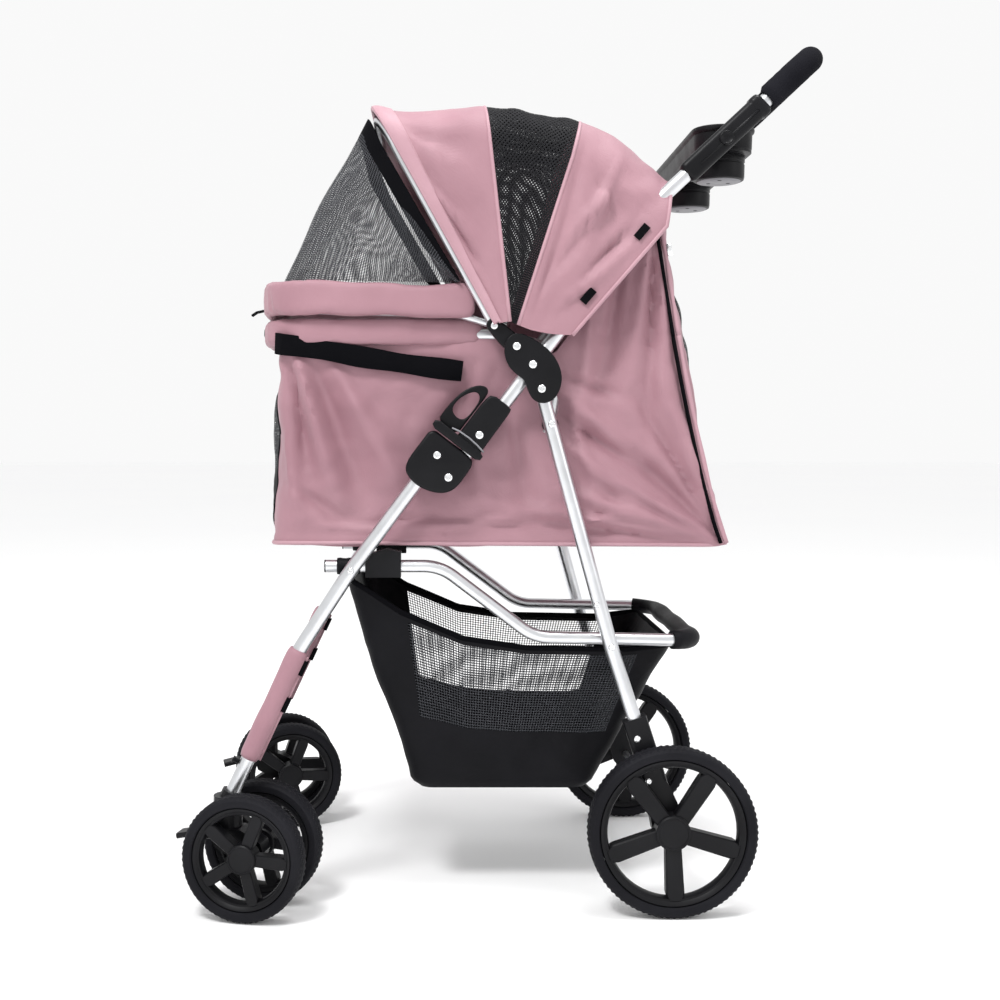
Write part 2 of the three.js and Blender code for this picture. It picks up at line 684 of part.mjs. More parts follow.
// A rim with five broad spokes, a flat hub disc and a blind bore for the axle from its inner side.
function rim(radius, width, hub, inner, bore, inward) {
  const shape = new THREE.Shape();
  shape.absarc(0, 0, radius, 0, 2 * Math.PI, false);
  const waist = hub * 0.62;
  for (let k = 0; k < 5; k += 1) {
    const middle = ((k + 0.5) * 2 * Math.PI) / 5;
    const hole = [];
    const outerHalf = Math.PI / 5 - Math.asin((waist * 0.92) / inner);
    const innerHalf = Math.PI / 5 - Math.asin((waist * 0.8) / (hub * 1.12));
    for (let s = 0; s <= 4; s += 1) {
      const a = middle - outerHalf + (2 * outerHalf * s) / 4;
      hole.push(new THREE.Vector2(inner * Math.cos(a), inner * Math.sin(a)));
    }
    for (let s = 1; s >= 0; s -= 1) {
      const a = middle - innerHalf + 2 * innerHalf * s;
      hole.push(new THREE.Vector2(hub * 1.12 * Math.cos(a), hub * 1.12 * Math.sin(a)));
    }
    shape.holes.push(new THREE.Path(hole));
  }
  const web = new THREE.ExtrudeGeometry(shape, {
    depth: width * 0.62, bevelEnabled: false, curveSegments: 12,
  });
  web.translate(0, 0, -width * 0.31);
  web.rotateX(Math.PI / 2);
  const h = width / 2;
  const core = bar(new THREE.Vector3(0, -h + 1, 0), new THREE.Vector3(0, h - 1, 0),
    ring(hub, 14));
  const hole = bar(new THREE.Vector3(0, inward * (h + 5), 0),
    new THREE.Vector3(0, -inward * (h - 4), 0), ring(bore, 12));
  return cut(join(web, core), hole);
}

function rearWheels() {
  const inner = REAR_R * 0.77;
  for (const [name, side] of SIDES) {
    const place = (geometry) => geometry.translate(REAR_AXLE[0], side * REAR_Y, REAR_AXLE[1]);
    add(`rear_tyre_${name}`, place(tyre(REAR_R, REAR_WIDTH, 12.5)), TYRE);
    const wheel = rim(REAR_R - 13.4, REAR_WIDTH - 4, 19, inner, 4 + CLEAR, -side);
    add(`rear_rim_${name}`, place(wheel), BLACK);
  }
}

function casters() {
  for (const [name, side] of SIDES) {
    const turn = (geometry) => geometry.rotateZ((side * CASTER_TURN * Math.PI) / 180)
      .translate(SWIVEL_X, side * SIDE_Y, 0);
    const hub = [TRAIL, FRONT_R];
    const outline = [[-15, 92.6], [-16, 84], [-12, 72], [14, 58], [22, 54.5], [32, 53.5],
      [41, 58], [45, 68], [42, 78], [30, 86], [17, 92.6]];
    const fork = join(plate(outline, -13, 13, 1), bar(at(hub, -38), at(hub, 38), 4));
    add(`caster_fork_${name}`, turn(fork), BLACK);
    const pedal = sweep([at([-17.5, 82], 0), at([-38, 84], 0), at([-57, 80], 0)],
      roundedBox(11, 3, 1.5, 1));
    add(`swivel_lock_${name}`, turn(pedal), BLACK);
    for (const [place, offsetY] of [['outer', side], ['inner', -side]]) {
      const move = (geometry) => turn(geometry.translate(TRAIL, offsetY * PAIR_HALF, FRONT_R));
      add(`front_tyre_${name}_${place}`, move(tyre(FRONT_R, FRONT_WIDTH, 12)), TYRE);
      add(`front_rim_${name}_${place}`, move(rim(FRONT_R - 12.7, FRONT_WIDTH - 4, 16,
        FRONT_R * 0.7, 4 + CLEAR, -offsetY)), BLACK);
    }
  }
}

rearLegs();
seatFrame();
cabin();
handle();
tray();
hingePlates();
latches();
hoodFrame();
gateSleeve();
canopy();
frontMesh();
frontLegs();
basket();
rearWheels();
casters();

// The origin is the middle of the bounding box, at the floor.
const ORIGIN_X = 10.5;
for (const mesh of stroller.children) {
  mesh.geometry.translate(-ORIGIN_X, 0, 0);
}

export default stroller;
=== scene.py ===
"""Looks of a folding pet stroller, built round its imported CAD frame. Lengths are in millimetres
in the CAD source's own frame until world() brings them to metres."""
import math

import bpy
import numpy as np
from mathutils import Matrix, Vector, noise

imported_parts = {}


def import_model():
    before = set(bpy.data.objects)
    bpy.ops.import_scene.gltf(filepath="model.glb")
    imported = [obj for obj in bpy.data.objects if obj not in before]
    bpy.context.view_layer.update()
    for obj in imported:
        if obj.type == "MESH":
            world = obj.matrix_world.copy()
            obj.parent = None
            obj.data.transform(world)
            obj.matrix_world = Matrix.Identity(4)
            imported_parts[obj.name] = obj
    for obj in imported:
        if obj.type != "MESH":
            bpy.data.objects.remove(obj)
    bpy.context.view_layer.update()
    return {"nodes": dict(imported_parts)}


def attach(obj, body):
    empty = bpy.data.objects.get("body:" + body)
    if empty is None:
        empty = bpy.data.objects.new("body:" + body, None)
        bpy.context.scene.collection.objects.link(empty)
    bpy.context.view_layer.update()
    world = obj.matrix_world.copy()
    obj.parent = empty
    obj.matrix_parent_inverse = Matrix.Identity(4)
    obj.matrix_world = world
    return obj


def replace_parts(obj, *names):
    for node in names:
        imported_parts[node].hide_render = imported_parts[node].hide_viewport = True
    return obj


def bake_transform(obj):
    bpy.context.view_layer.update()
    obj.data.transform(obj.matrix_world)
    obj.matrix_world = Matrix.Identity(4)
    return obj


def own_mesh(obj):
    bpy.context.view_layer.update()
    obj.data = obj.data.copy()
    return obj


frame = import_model()
NODES = frame["nodes"]

SHIFT = 10.5  # the CAD source moves everything this far towards -X
SIDES = (("left", -1), ("right", 1))
SIDE_Y = 170
RIM_Z = 640
CABIN_FOOT = 403.0
BASKET_FOOT = 120
BASKET_LEVEL = 338  # the height that the basket flattens to when folded
FOLD_HINGE, KNEE = (52, 578), (-51, 480)
ARM_BEND, GRIP_TOP = (183, 788), (361, 954)
BOW_FOOT, BOW_TOP, HOOD_HINGE = (0, 648), (-132, 888), (24.4, 625)
SEAT_PIN, BASKET_REAR, REAR_AXLE = (63.4, 539), (130, 292), (194, 93)


# ---- materials ---------------------------------------------------------------------------------
class Nodes:
    """A few shorthands for building one material's node tree."""

    def __init__(self, name, roughness, metallic=0.0):
        self.material = bpy.data.materials.new(name)
        self.material.use_nodes = True
        self.tree = self.material.node_tree
        self.shader = self.tree.nodes["Principled BSDF"]
        self.set("Roughness", roughness)
        self.set("Metallic", metallic)

    def set(self, socket, value):
        self.shader.inputs[socket].default_value = value

    def add(self, kind, **inputs):
        node = self.tree.nodes.new(kind)
        for key, value in inputs.items():
            target = key.replace("_", " ")
            if isinstance(value, bpy.types.NodeSocket):
                self.tree.links.new(value, node.inputs[target])
            else:
                node.inputs[target].default_value = value
        return node

    def math(self, operation, a, b=0.0):
        node = self.tree.nodes.new("ShaderNodeMath")
        node.operation = operation
        for i, value in enumerate((a, b)):
            if isinstance(value, bpy.types.NodeSocket):
                self.tree.links.new(value, node.inputs[i])
            else:
                node.inputs[i].default_value = value
        return node.outputs[0]

    def place(self):
        return self.tree.nodes.new("ShaderNodeTexCoord").outputs["Object"]

    def noise(self, scale, detail=3.0, vector=None):
        node = self.add("ShaderNodeTexNoise", Scale=scale, Detail=detail)
        self.tree.links.new(vector or self.place(), node.inputs["Vector"])
        return node.outputs["Fac"]

    def ramp(self, value, *stops):
        node = self.add("ShaderNodeValToRGB", Fac=value)
        elements = node.color_ramp.elements
        while len(elements) < len(stops):
            elements.new(0.5)
        for element, (at, color) in zip(elements, stops):
            element.position = at
            element.color = (*color, 1)
        return node.outputs["Color"]

    def join(self, output, socket):
        self.tree.links.new(output, self.shader.inputs[socket])

    def bump(self, height, distance, strength=1.0):
        node = self.add("ShaderNodeBump", Height=height, Distance=distance, Strength=strength)
        self.join(node.outputs["Normal"], "Normal")


def bands(nodes, axis, scale, vector):
    """Fine parallel threads, a sine wave across one axis."""
    node = nodes.tree.nodes.new("ShaderNodeSeparateXYZ")
    nodes.tree.links.new(vector, node.inputs[0])
    return nodes.math("SINE", nodes.math("MULTIPLY", node.outputs[axis], scale))


def woven(name, light, dark, roughness, sheen, gloss=0.35):
    """Plain woven cloth: uneven colour, threads about a millimetre apart and small slubs."""
    n = Nodes(name, roughness)
    where = n.place()
    broad = n.noise(9.0, 4.0, where)
    n.join(n.ramp(broad, (0.3, dark), (0.7, light)), "Base Color")
    threads = n.math("ADD", n.math("MULTIPLY", bands(n, 0, 5200, where), bands(n, 2, 5200, where)),
                     n.math("MULTIPLY", bands(n, 1, 5200, where), 0.5))
    height = n.math("ADD", n.math("MULTIPLY", threads, 0.12), n.noise(70.0, 5.0, where))
    n.bump(height, 0.0011, 0.45)
    rough = n.add("ShaderNodeMapRange", Value=n.noise(30.0, 3.0, where), To_Min=roughness - 0.09,
                  To_Max=roughness + 0.1)
    n.join(rough.outputs[0], "Roughness")
    n.set("Sheen Weight", sheen)
    n.set("Sheen Roughness", 0.4)
    n.set("Specular IOR Level", gloss)
    return n.material


def netting(name, color, pitch, solid, diagonal=False):
    """Netting with real see-through holes, laid out along the cloth's own lengths."""
    n = Nodes(name, 0.7)
    uv = n.tree.nodes.new("ShaderNodeUVMap")
    uv.uv_map = "cloth"
    split = n.tree.nodes.new("ShaderNodeSeparateXYZ")
    n.tree.links.new(uv.outputs[0], split.inputs[0])
    u, v = split.outputs[0], split.outputs[1]
    if diagonal:
        u, v = n.math("ADD", u, v), n.math("SUBTRACT", u, v)
    turn = math.pi / pitch
    wave = n.math("MULTIPLY", n.math("ABSOLUTE", n.math("SINE", n.math("MULTIPLY", u, turn))),
                  n.math("ABSOLUTE", n.math("SINE", n.math("MULTIPLY", v, turn))))
    hole = n.add("ShaderNodeMapRange", Value=wave, From_Min=solid - 0.12, From_Max=solid + 0.12,
                 To_Min=1.0, To_Max=0.0)
    n.join(hole.outputs[0], "Alpha")
    broad = n.noise(25.0, 3.0)
    n.join(n.ramp(broad, (0.3, [c * 0.75 for c in color]), (0.7, color)), "Base Color")
    n.bump(wave, 0.0008, 0.6)
    n.set("Specular IOR Level", 0.2)
    return n.material


def moulded(name, color, roughness, grain=900.0, depth=0.00012, gloss=0.16):
    """Moulded plastic or rubber: fine grain, and random patches a little lighter."""
    n = Nodes(name, roughness)
    where = n.place()
    worn = n.noise(14.0, 6.0, where)
    lighter = [min(1.0, c * 1.7 + 0.002) for c in color]
    n.join(n.ramp(worn, (0.42, color), (0.8, lighter)), "Base Color")
    rough = n.add("ShaderNodeMapRange", Value=n.noise(45.0, 4.0, where), To_Min=roughness - 0.07,
                  To_Max=roughness + 0.12)
    n.join(rough.outputs[0], "Roughness")
    n.bump(n.noise(grain, 3.0, where), depth, 0.6)
    n.set("Specular IOR Level", gloss)
    return n.material


def metal(name, color, roughness):
    """Satin tube: faint drawn streaks, small scuffs and cloudy patches."""
    n = Nodes(name, roughness, 1.0)
    where = n.place()
    cloudy = n.noise(22.0, 5.0, where)
    n.join(n.ramp(cloudy, (0.3, [c * 0.82 for c in color]), (0.65, color)), "Base Color")
    stretch = n.add("ShaderNodeMapping", Vector=where, Scale=(60.0, 900.0, 60.0))
    streaks = n.noise(3.0, 4.0, stretch.outputs[0])
    rough = n.add("ShaderNodeMapRange", Value=streaks, To_Min=roughness - 0.08,
                  To_Max=roughness + 0.12)
    n.join(rough.outputs[0], "Roughness")
    n.bump(streaks, 0.00004, 0.5)
    return n.material


ROSE = woven("rose_cloth", (0.36, 0.198, 0.232), (0.29, 0.152, 0.182), 0.5, 0.1)
ROSE_EDGE = woven("rose_binding", (0.44, 0.26, 0.3), (0.37, 0.21, 0.245), 0.45, 0.1)
BLACK_CLOTH = woven("black_cloth", (0.006, 0.006, 0.008), (0.003, 0.003, 0.004), 0.5, 0.0, 0.1)
BLACK_TAPE = woven("black_tape", (0.004, 0.004, 0.005), (0.002, 0.002, 0.003), 0.9, 0.0, 0.05)
FRONT_NET = netting("front_netting", (0.06, 0.062, 0.07), 0.0026, 0.34)
HOOD_NET = netting("hood_netting", (0.006, 0.006, 0.008), 0.0052, 0.7, True)
BASKET_NET = netting("basket_netting", (0.04, 0.042, 0.048), 0.003, 0.3)
DARK_NET = netting("window_netting", (0.05, 0.052, 0.056), 0.0026, 0.62)
PLASTIC = moulded("black_plastic", (0.004, 0.004, 0.005), 0.36)
WHEEL = moulded("wheel_plastic", (0.004, 0.004, 0.005), 0.42, 700.0)
TYRE = moulded("tyre_rubber", (0.007, 0.007, 0.009), 0.62, 1400.0, 0.0003, gloss=0.1)
FOAM = moulded("grip_foam", (0.006, 0.006, 0.008), 0.9, 1600.0, 0.0005, gloss=0.05)
# Grey plastic for the cup bases; also the colour of the thin ridge on each latch slider, which is a
# painted highlight.
GREY_AND_HIGHLIGHT = moulded("grey_plastic_and_highlight", (0.2, 0.2, 0.215), 0.34)
SATIN = metal("satin_tube", (0.72, 0.73, 0.75), 0.3)
RIVET = metal("rivet_steel", (0.86, 0.87, 0.88), 0.2)
# Painted shade: a near-black finish for the open tube ends and the cup drains, standing in for the
# shade inside a hollow.
HOLLOW_SHADE = moulded("painted_hollow_shade", (0.01, 0.01, 0.01), 0.8)


# ---- meshes ------------------------------------------------------------------------------------
def world(points):
    moved = np.array(points, float).reshape(-1, 3)
    moved[:, 0] -= SHIFT
    return moved * 0.001


def lift(point, y):
    return np.array([point[0], y, point[1]], float)


def piece(name, points, faces, materials, body=None, slot=None, picked=None, uv=None):
    """One named mesh with smooth faces. picked gives each face's material."""
    mesh = bpy.data.meshes.new(name)
    mesh.from_pydata([tuple(p) for p in world(points)], [], [tuple(f) for f in faces])
    for material in materials if isinstance(materials, (list, tuple)) else [materials]:
        mesh.materials.append(material)
    mesh.polygons.foreach_set("use_smooth", [True] * len(mesh.polygons))
    if picked is not None:
        mesh.polygons.foreach_set("material_index", picked)
    if uv is not None:
        corner = np.zeros(len(mesh.loops), int)
        mesh.loops.foreach_get("vertex_index", corner)
        layer = mesh.uv_layers.new(name="cloth")
        layer.data.foreach_set("uv", np.array(uv, float)[corner].ravel())
    obj = bpy.data.objects.new(name, mesh)
    bpy.context.scene.collection.objects.link(obj)
    if body:
        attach(obj, body)
    return obj


def merged(parts):
    """Several (points, faces) lists as one."""
    points, faces = [], []
    for more, rims in parts:
        faces += [[k + len(points) for k in f] for f in rims]
        points += [tuple(p) for p in more]
    return points, faces


def sharp(obj, angle=35.0):
    """Keeps edges sharper than the angle crisp while the rest shades smoothly."""
    obj.data.set_sharp_from_angle(angle=math.radians(angle))
    return obj


def rounded_path(points, radii, steps=7):
    """Replaces each inner corner by an arc."""
    points = [np.array(p, float) for p in points]
    path = [points[0]]
    for i in range(1, len(points) - 1):
        corner = points[i]
        back = points[i - 1] - corner
        ahead = points[i + 1] - corner
        back, ahead = back / np.linalg.norm(back), ahead / np.linalg.norm(ahead)
        half = math.acos(max(-1.0, min(1.0, float(back @ ahead)))) / 2
        cut = radii[i - 1] / math.tan(half)
        middle = (back + ahead) / np.linalg.norm(back + ahead)
        centre = corner + middle * radii[i - 1] / math.sin(half)
        a, b = corner + back * cut - centre, corner + ahead * cut - centre
        turn = math.acos(max(-1.0, min(1.0, float(a @ b) / radii[i - 1] ** 2)))
        for s in range(steps + 1):
            w = s / steps
            arc = a * math.sin((1 - w) * turn) + b * math.sin(w * turn)
            path.append(centre + arc / math.sin(turn))
    path.append(points[-1])
    return path


def refined(path, step):
    """The same path with extra points, none further apart than step."""
    out = [path[0]]
    for a, b in zip(path, path[1:]):
        count = max(1, int(np.linalg.norm(b - a) / step))
        out += [a + (b - a) * (k + 1) / count for k in range(count)]
    return out


def frames(path):
    """For each point of a path: the point, sideways and upwards unit vectors, length so far."""
    up, out, so_far = None, [], 0.0
    for i, p in enumerate(path):
        along = path[min(i + 1, len(path) - 1)] - path[max(i - 1, 0)]
        along = along / np.linalg.norm(along)
        if up is None:
            up = np.array([1.0, 0, 0]) if abs(along[2]) > 0.9 else np.array([0, 0, 1.0])
        up = up - along * (up @ along)
        up = up / np.linalg.norm(up)
        if i:
            so_far += float(np.linalg.norm(p - path[i - 1]))
        out.append((p, np.cross(along, up), up, so_far))
    return out


def swept(path, section, caps=True):
    """Points and faces of a bar swept along a path. section(share) gives [sideways, up] points."""
    steps = frames(path)
    total = steps[-1][3]
    rings = [[p + side * s + up * u for s, u in section(d / total)] for p, side, up, d in steps]
    count = len(rings[0])
    points = [q for r in rings for q in r]
    faces = []
    for r in range(len(rings) - 1):
        for k in range(count):
            j = (k + 1) % count
            faces.append([r * count + k, r * count + j, (r + 1) * count + j, (r + 1) * count + k])
    if caps:
        last = (len(rings) - 1) * count
        faces += [list(range(count))[::-1], [last + k for k in range(count)]]
    return points, faces


def circle(radius, sides=28):
    turns = [(k + 0.5) / sides * 2 * math.pi for k in range(sides)]
    return [(radius * math.cos(t), radius * math.sin(t)) for t in turns]


def round_rect(half_w, half_h, corner, steps=4):
    out = []
    for q in range(4):
        cx = (1 if q in (0, 3) else -1) * (half_w - corner)
        cy = (1 if q < 2 else -1) * (half_h - corner)
        for s in range(steps + 1):
            t = (q + s / steps) * math.pi / 2
            out.append((cx + corner * math.cos(t), cy + corner * math.sin(t)))
    return out


def tube(name, path, radius, material, body, slot, node):
    """A round tube along a path, in place of a CAD node."""
    obj = piece(name, *swept(path, lambda share: circle(radius)), material, body, slot)
    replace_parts(sharp(obj), node)


def lathe(profile, centre, axis, sides=48, start=None):
    """Points and faces of a closed turned ring. profile holds (radius, along the axis) points."""
    axis = Vector(axis).normalized()
    u = Vector(start) if start else axis.orthogonal().normalized()
    v = axis.cross(u)
    points, faces = [], []
    for k in range(sides):
        t = 2 * math.pi * k / sides
        out = u * math.cos(t) + v * math.sin(t)
        points += [tuple(Vector(centre) + out * r + axis * h) for r, h in profile]
    n = len(profile)
    for k in range(sides):
        a, b = k * n, ((k + 1) % sides) * n
        faces += [[a + i, b + i, b + (i + 1) % n, a + (i + 1) % n] for i in range(n)]
    return points, faces


def turned(profile, centre, axis, sides=32):
    """A solid of revolution whose profile starts and ends on the axis."""
    points, faces = lathe(profile[1:-1], centre, axis, sides)
    n = len(profile) - 2
    faces = [f for f in faces if not (max(x % n for x in f) == n - 1 and min(x % n for x in f) == 0)
             or n == 2]
    axis = Vector(axis).normalized()
    ends = [tuple(Vector(centre) + axis * profile[i][1]) for i in (0, -1)]
    low, high = len(points), len(points) + 1
    points += ends
    for k in range(sides):
        a, b = k * n, ((k + 1) % sides) * n
        faces += [[low, b, a], [high, a + n - 1, b + n - 1]]
    return points, faces


def softened(outline, times=2, most=5.0):
    """Cuts the corners of a closed outline, again and again, each cut no longer than most."""
    for _ in range(times):
        out = []
        for a, b in zip(outline, outline[1:] + outline[:1]):
            cut = min(0.25, most / max(math.dist(a, b), 1e-6))
            out += [between(a, b, cut), between(a, b, 1 - cut)]
        outline, most = out, most / 2.5
    return outline


def plate(name, outlines, near, far, side, bevel, material, body, slot):
    """A side-view outline, holes after it, cut from a slab with rounded edges."""
    curve = bpy.data.curves.new(name, "CURVE")
    curve.dimensions = "2D"
    curve.fill_mode = "BOTH"
    for outline in outlines:
        spline = curve.splines.new("POLY")
        spline.points.add(len(outline) - 1)
        for point, (x, z) in zip(spline.points, outline):
            point.co = (x, z, 0, 1)
        spline.use_cyclic_u = True
    curve.bevel_depth = bevel
    curve.bevel_resolution = 2
    curve.offset = -bevel
    curve.extrude = (far - near) / 2 - bevel
    made = bpy.data.objects.new(name + ".curve", curve)
    bpy.context.scene.collection.objects.link(made)
    mesh = bpy.data.meshes.new_from_object(made.evaluated_get(
        bpy.context.evaluated_depsgraph_get()))
    flat = np.zeros(len(mesh.vertices) * 3)
    mesh.vertices.foreach_get("co", flat)
    flat = flat.reshape(-1, 3)
    middle = side * (near + far) / 2
    points = np.stack([flat[:, 0], middle - flat[:, 2], flat[:, 1]], 1)
    faces = [list(p.vertices) for p in mesh.polygons]
    bpy.data.objects.remove(made)
    obj = piece(name, points, faces, material, body, slot)
    weld = obj.modifiers.new("weld", "WELD")
    weld.merge_threshold = 0.00002
    return sharp(obj, 40)


def offset(a, b, along, left):
    """The point along and to the left of a line from a to b, in the side view."""
    length = math.hypot(b[0] - a[0], b[1] - a[1])
    ux, uz = (b[0] - a[0]) / length, (b[1] - a[1]) / length
    return (a[0] + ux * along - uz * left, a[1] + uz * along + ux * left)


def between(a, b, share):
    return (a[0] + (b[0] - a[0]) * share, a[1] + (b[1] - a[1]) * share)


def rivet(name, point, y, side, body, radius=4.4):
    """A domed rivet head with a dished middle, flat on a surface at that distance."""
    r = radius
    profile = [(0, 0), (r * 0.98, 0), (r, 0.7), (r * 0.86, 1.7), (r * 0.55, 2.3), (r * 0.42, 2.2),
               (r * 0.36, 1.2), (0, 1.1)]
    obj = piece(name, *turned(profile, lift(point, side * y), (0, side, 0), 24), RIVET, body,
                "steel_tube")
    return sharp(obj, 50)


# ---- camera, light and floor ---------------------------------------------------------------------
def stage():
    """The camera, the lamps, the white backdrop and the floor."""
    camera = bpy.data.cameras.new("camera")
    camera.lens, camera.sensor_width = 48.3, 36
    camera.shift_x, camera.shift_y = 0.067, -0.070
    holder = bpy.data.objects.new("camera", camera)
    bpy.context.scene.collection.objects.link(holder)
    holder.location = (-0.0785, -1.663, 0.5325)
    holder.rotation_euler = (math.pi / 2, 0, 0)
    bpy.context.scene.camera = holder
    bpy.context.scene.view_settings.view_transform = "Standard"
    backdrop = bpy.data.worlds.new("studio")
    bpy.context.scene.world = backdrop
    backdrop.use_nodes = True
    backdrop.node_tree.nodes["Background"].inputs[0].default_value = (1.0, 1.0, 1.0, 1)
    backdrop.node_tree.nodes["Background"].inputs[1].default_value = 0.95
    lamps = (("key", (-0.9, -1.5, 2.6), 0.6, 50), ("top", (0.5, -0.3, 2.6), 0.9, 30),
             ("fill", (2.2, -1.2, 1.2), 1.0, 5))
    for name, at, size, power in lamps:
        lamp = bpy.data.lights.new(name, "AREA")
        lamp.energy, lamp.size = power, size
        shade = bpy.data.objects.new(name, lamp)
        bpy.context.scene.collection.objects.link(shade)
        shade.location = at
        aim = Vector((0, 0, 0.45)) - Vector(at)
        shade.rotation_euler = aim.to_track_quat("-Z", "Y").to_euler()
    n = Nodes("floor_paper", 0.75)
    paper = n.ramp(n.noise(0.8), (0.3, (0.975, 0.975, 0.98)), (0.7, (0.985, 0.985, 0.985)))
    n.join(paper, "Base Color")
    floor = piece("floor", [(-20000, -20000, 0), (20000, -20000, 0), (20000, 20000, 0),
                            (-20000, 20000, 0)], [[0, 1, 2, 3]], n.material)


# ---- frame tubes ---------------------------------------------------------------------------------
def seat_path():
    down = [(7, 640), (58, 627), (71, 577), (61, 529)][::-1]
    left = [lift(p, -142) for p in down + [(-252, 640)]]
    right = [lift(p, 142) for p in [(-252, 640)] + down[::-1]]
    return rounded_path(left + right, [40, 22, 60, 50, 50, 60, 22, 40])


def handle_path():
    foot = (-56.4, 472.8)
    left = [lift(p, -SIDE_Y) for p in (foot, ARM_BEND, GRIP_TOP)]
    right = [lift(p, SIDE_Y) for p in (GRIP_TOP, ARM_BEND, foot)]
    return rounded_path(left + right, [90, 42, 42, 90])


def basket_path():
    line = [(-190, 379), (-60, 379), (46, 299), (228, 295)]
    left = [lift(p, -149) for p in line]
    right = [lift(p, 149) for p in line[::-1]]
    return rounded_path(left + right, [55, 55, 34, 34, 55, 55])


def leg_path(y):
    points = [(-60.8, 508.8), (-159, 377), (-217, 288), (-302, 106)]
    return rounded_path([lift(p, y) for p in points], [160, 160])


def bow_path():
    left = [lift(p, -170.5) for p in (BOW_FOOT, BOW_TOP)]
    right = [lift(p, 170.5) for p in (BOW_TOP, BOW_FOOT)]
    return rounded_path(left + right, [60, 60])


def gate_path():
    line = [(14, 646), (-40, 662), (-256, 668)]
    return rounded_path([lift(p, -157) for p in line] + [lift(p, 157) for p in line[::-1]],
                        [30, 58, 58, 30])


def plug(name, at, ahead, radius, material, body, slot):
    """A slightly sunk end of an open tube."""
    profile = [(0, -0.3), (radius * 0.72, -0.3), (radius * 0.78, 0.35), (radius * 1.0, 0.35),
               (radius * 1.01, -1.2), (radius * 0.9, -1.6), (0, -1.6)]
    return piece(name, *turned(profile[::-1], at, ahead, 24), material, body, slot)


def tubes():
    """Every metal tube and rod of the frame."""
    tube("handle_bar", handle_path(), 8, SATIN, "handle_frame", "satin_tube", "handle_tube")
    tube("seat_ring", seat_path(), 7, SATIN, "rear_frame", "satin_tube", "seat_frame")
    tube("basket_ring", basket_path(), 7, SATIN, "basket_frame", "satin_tube", "basket_frame")
    tube("bow_tube", bow_path(), 5, SATIN, "hood", "steel_tube", "hood_bow")
    tube("gate_tube", gate_path(), 4, SATIN, "hood", "steel_tube", "gate_frame")
    for name, side in SIDES:
        y = side * SIDE_Y
        foot = between(BASKET_REAR, REAR_AXLE, 0.78)
        tube(f"rear_tube_{name}", [lift(p, y) for p in (FOLD_HINGE, BASKET_REAR, foot)], 8, SATIN,
             "rear_frame", "satin_tube", f"rear_leg_{name}")
        tube(f"front_tube_{name}", leg_path(y), 8, SATIN, "front_frame", "satin_tube",
             f"front_leg_{name}")
        # The open tube end is a near-black disc: painted shade for the hollow inside the tube.
        plug(f"basket_tube_end_{name}", lift((-190, 379), side * 149), (-1, 0, 0), 7, HOLLOW_SHADE,
             "basket_frame", "black_plastic")
    tube("axle_rod", [lift(REAR_AXLE, -199.4), lift(REAR_AXLE, 199.4)], 4, SATIN, "rear_frame",
         "steel_tube", "rear_axle")
    cross = between((-217, 288), (-302, 106), -0.06)
    tube("cross_rod", [lift(cross, -161.6), lift(cross, 161.6)], 6, SATIN, "front_frame",
         "steel_tube", "front_cross_bar")


# ---- handle: grip, sleeves, tray -----------------------------------------------------------------
def grip():
    path = handle_path()
    start = between(ARM_BEND, GRIP_TOP, 0.68)
    held = [p for p in path if p[0] > start[0] + 1]
    line = refined([lift(start, -SIDE_Y), *held, lift(start, SIDE_Y)], 5)

    def section(share):
        end = min(share, 1 - share) * 620
        radius = 14.4 - 3.6 * math.exp(-end / 1.6) + 0.15 * math.sin(share * 260)
        return circle(radius, 36)

    obj = piece("grip_foam_cover", *swept(line, section), FOAM, "handle_frame", "grip_foam")
    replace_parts(obj, "foam_grip")
    sharp(obj, 50)


def arm_sleeves():
    """The hard black covers on the handle's arms, each with a rib and a round button."""
    low, high = between(ARM_BEND, GRIP_TOP, 0.17), between(ARM_BEND, GRIP_TOP, 0.655)
    for name, side in SIDES:
        y = side * SIDE_Y
        line = refined([lift(low, y), lift(high, y)], 2.2)

        def section(share):
            collar = 1.3 if share > 0.9 else 0.0
            groove = -1.1 * math.exp(-((share - 0.895) * 130) ** 2)
            ends = -3.0 * math.exp(-min(share, 1 - share) * 115 / 1.5)
            grow = collar + groove + ends
            return round_rect(10.3 + grow, 12.3 + grow, 6.5 + grow * 0.5, 6)

        cover = piece(f"arm_cover_{name}", *swept(line, section), PLASTIC, "handle_frame",
                      "black_plastic")
        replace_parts(sharp(cover, 50), f"arm_sleeve_{name}")
        ridge = [offset(ARM_BEND, GRIP_TOP, d, -2.5) for d in (60, 150)]
        rib = swept([lift(p, side * (SIDE_Y + 9.4)) for p in ridge], lambda s: circle(1.8, 12))
        piece(f"arm_rib_{name}", *rib, PLASTIC, "handle_frame", "black_plastic")
        button = offset(ARM_BEND, GRIP_TOP, 100, -1)
        profile = [(0, 0), (8.2, 0), (8.2, 2.2), (7.2, 3.4), (6.2, 3.0), (5.4, 2.2), (0, 2.0)]
        piece(f"arm_button_{name}", *turned(profile, lift(button, side * (SIDE_Y + 9.6)),
                                            (0, side, 0), 36), PLASTIC, "handle_frame",
              "black_plastic")


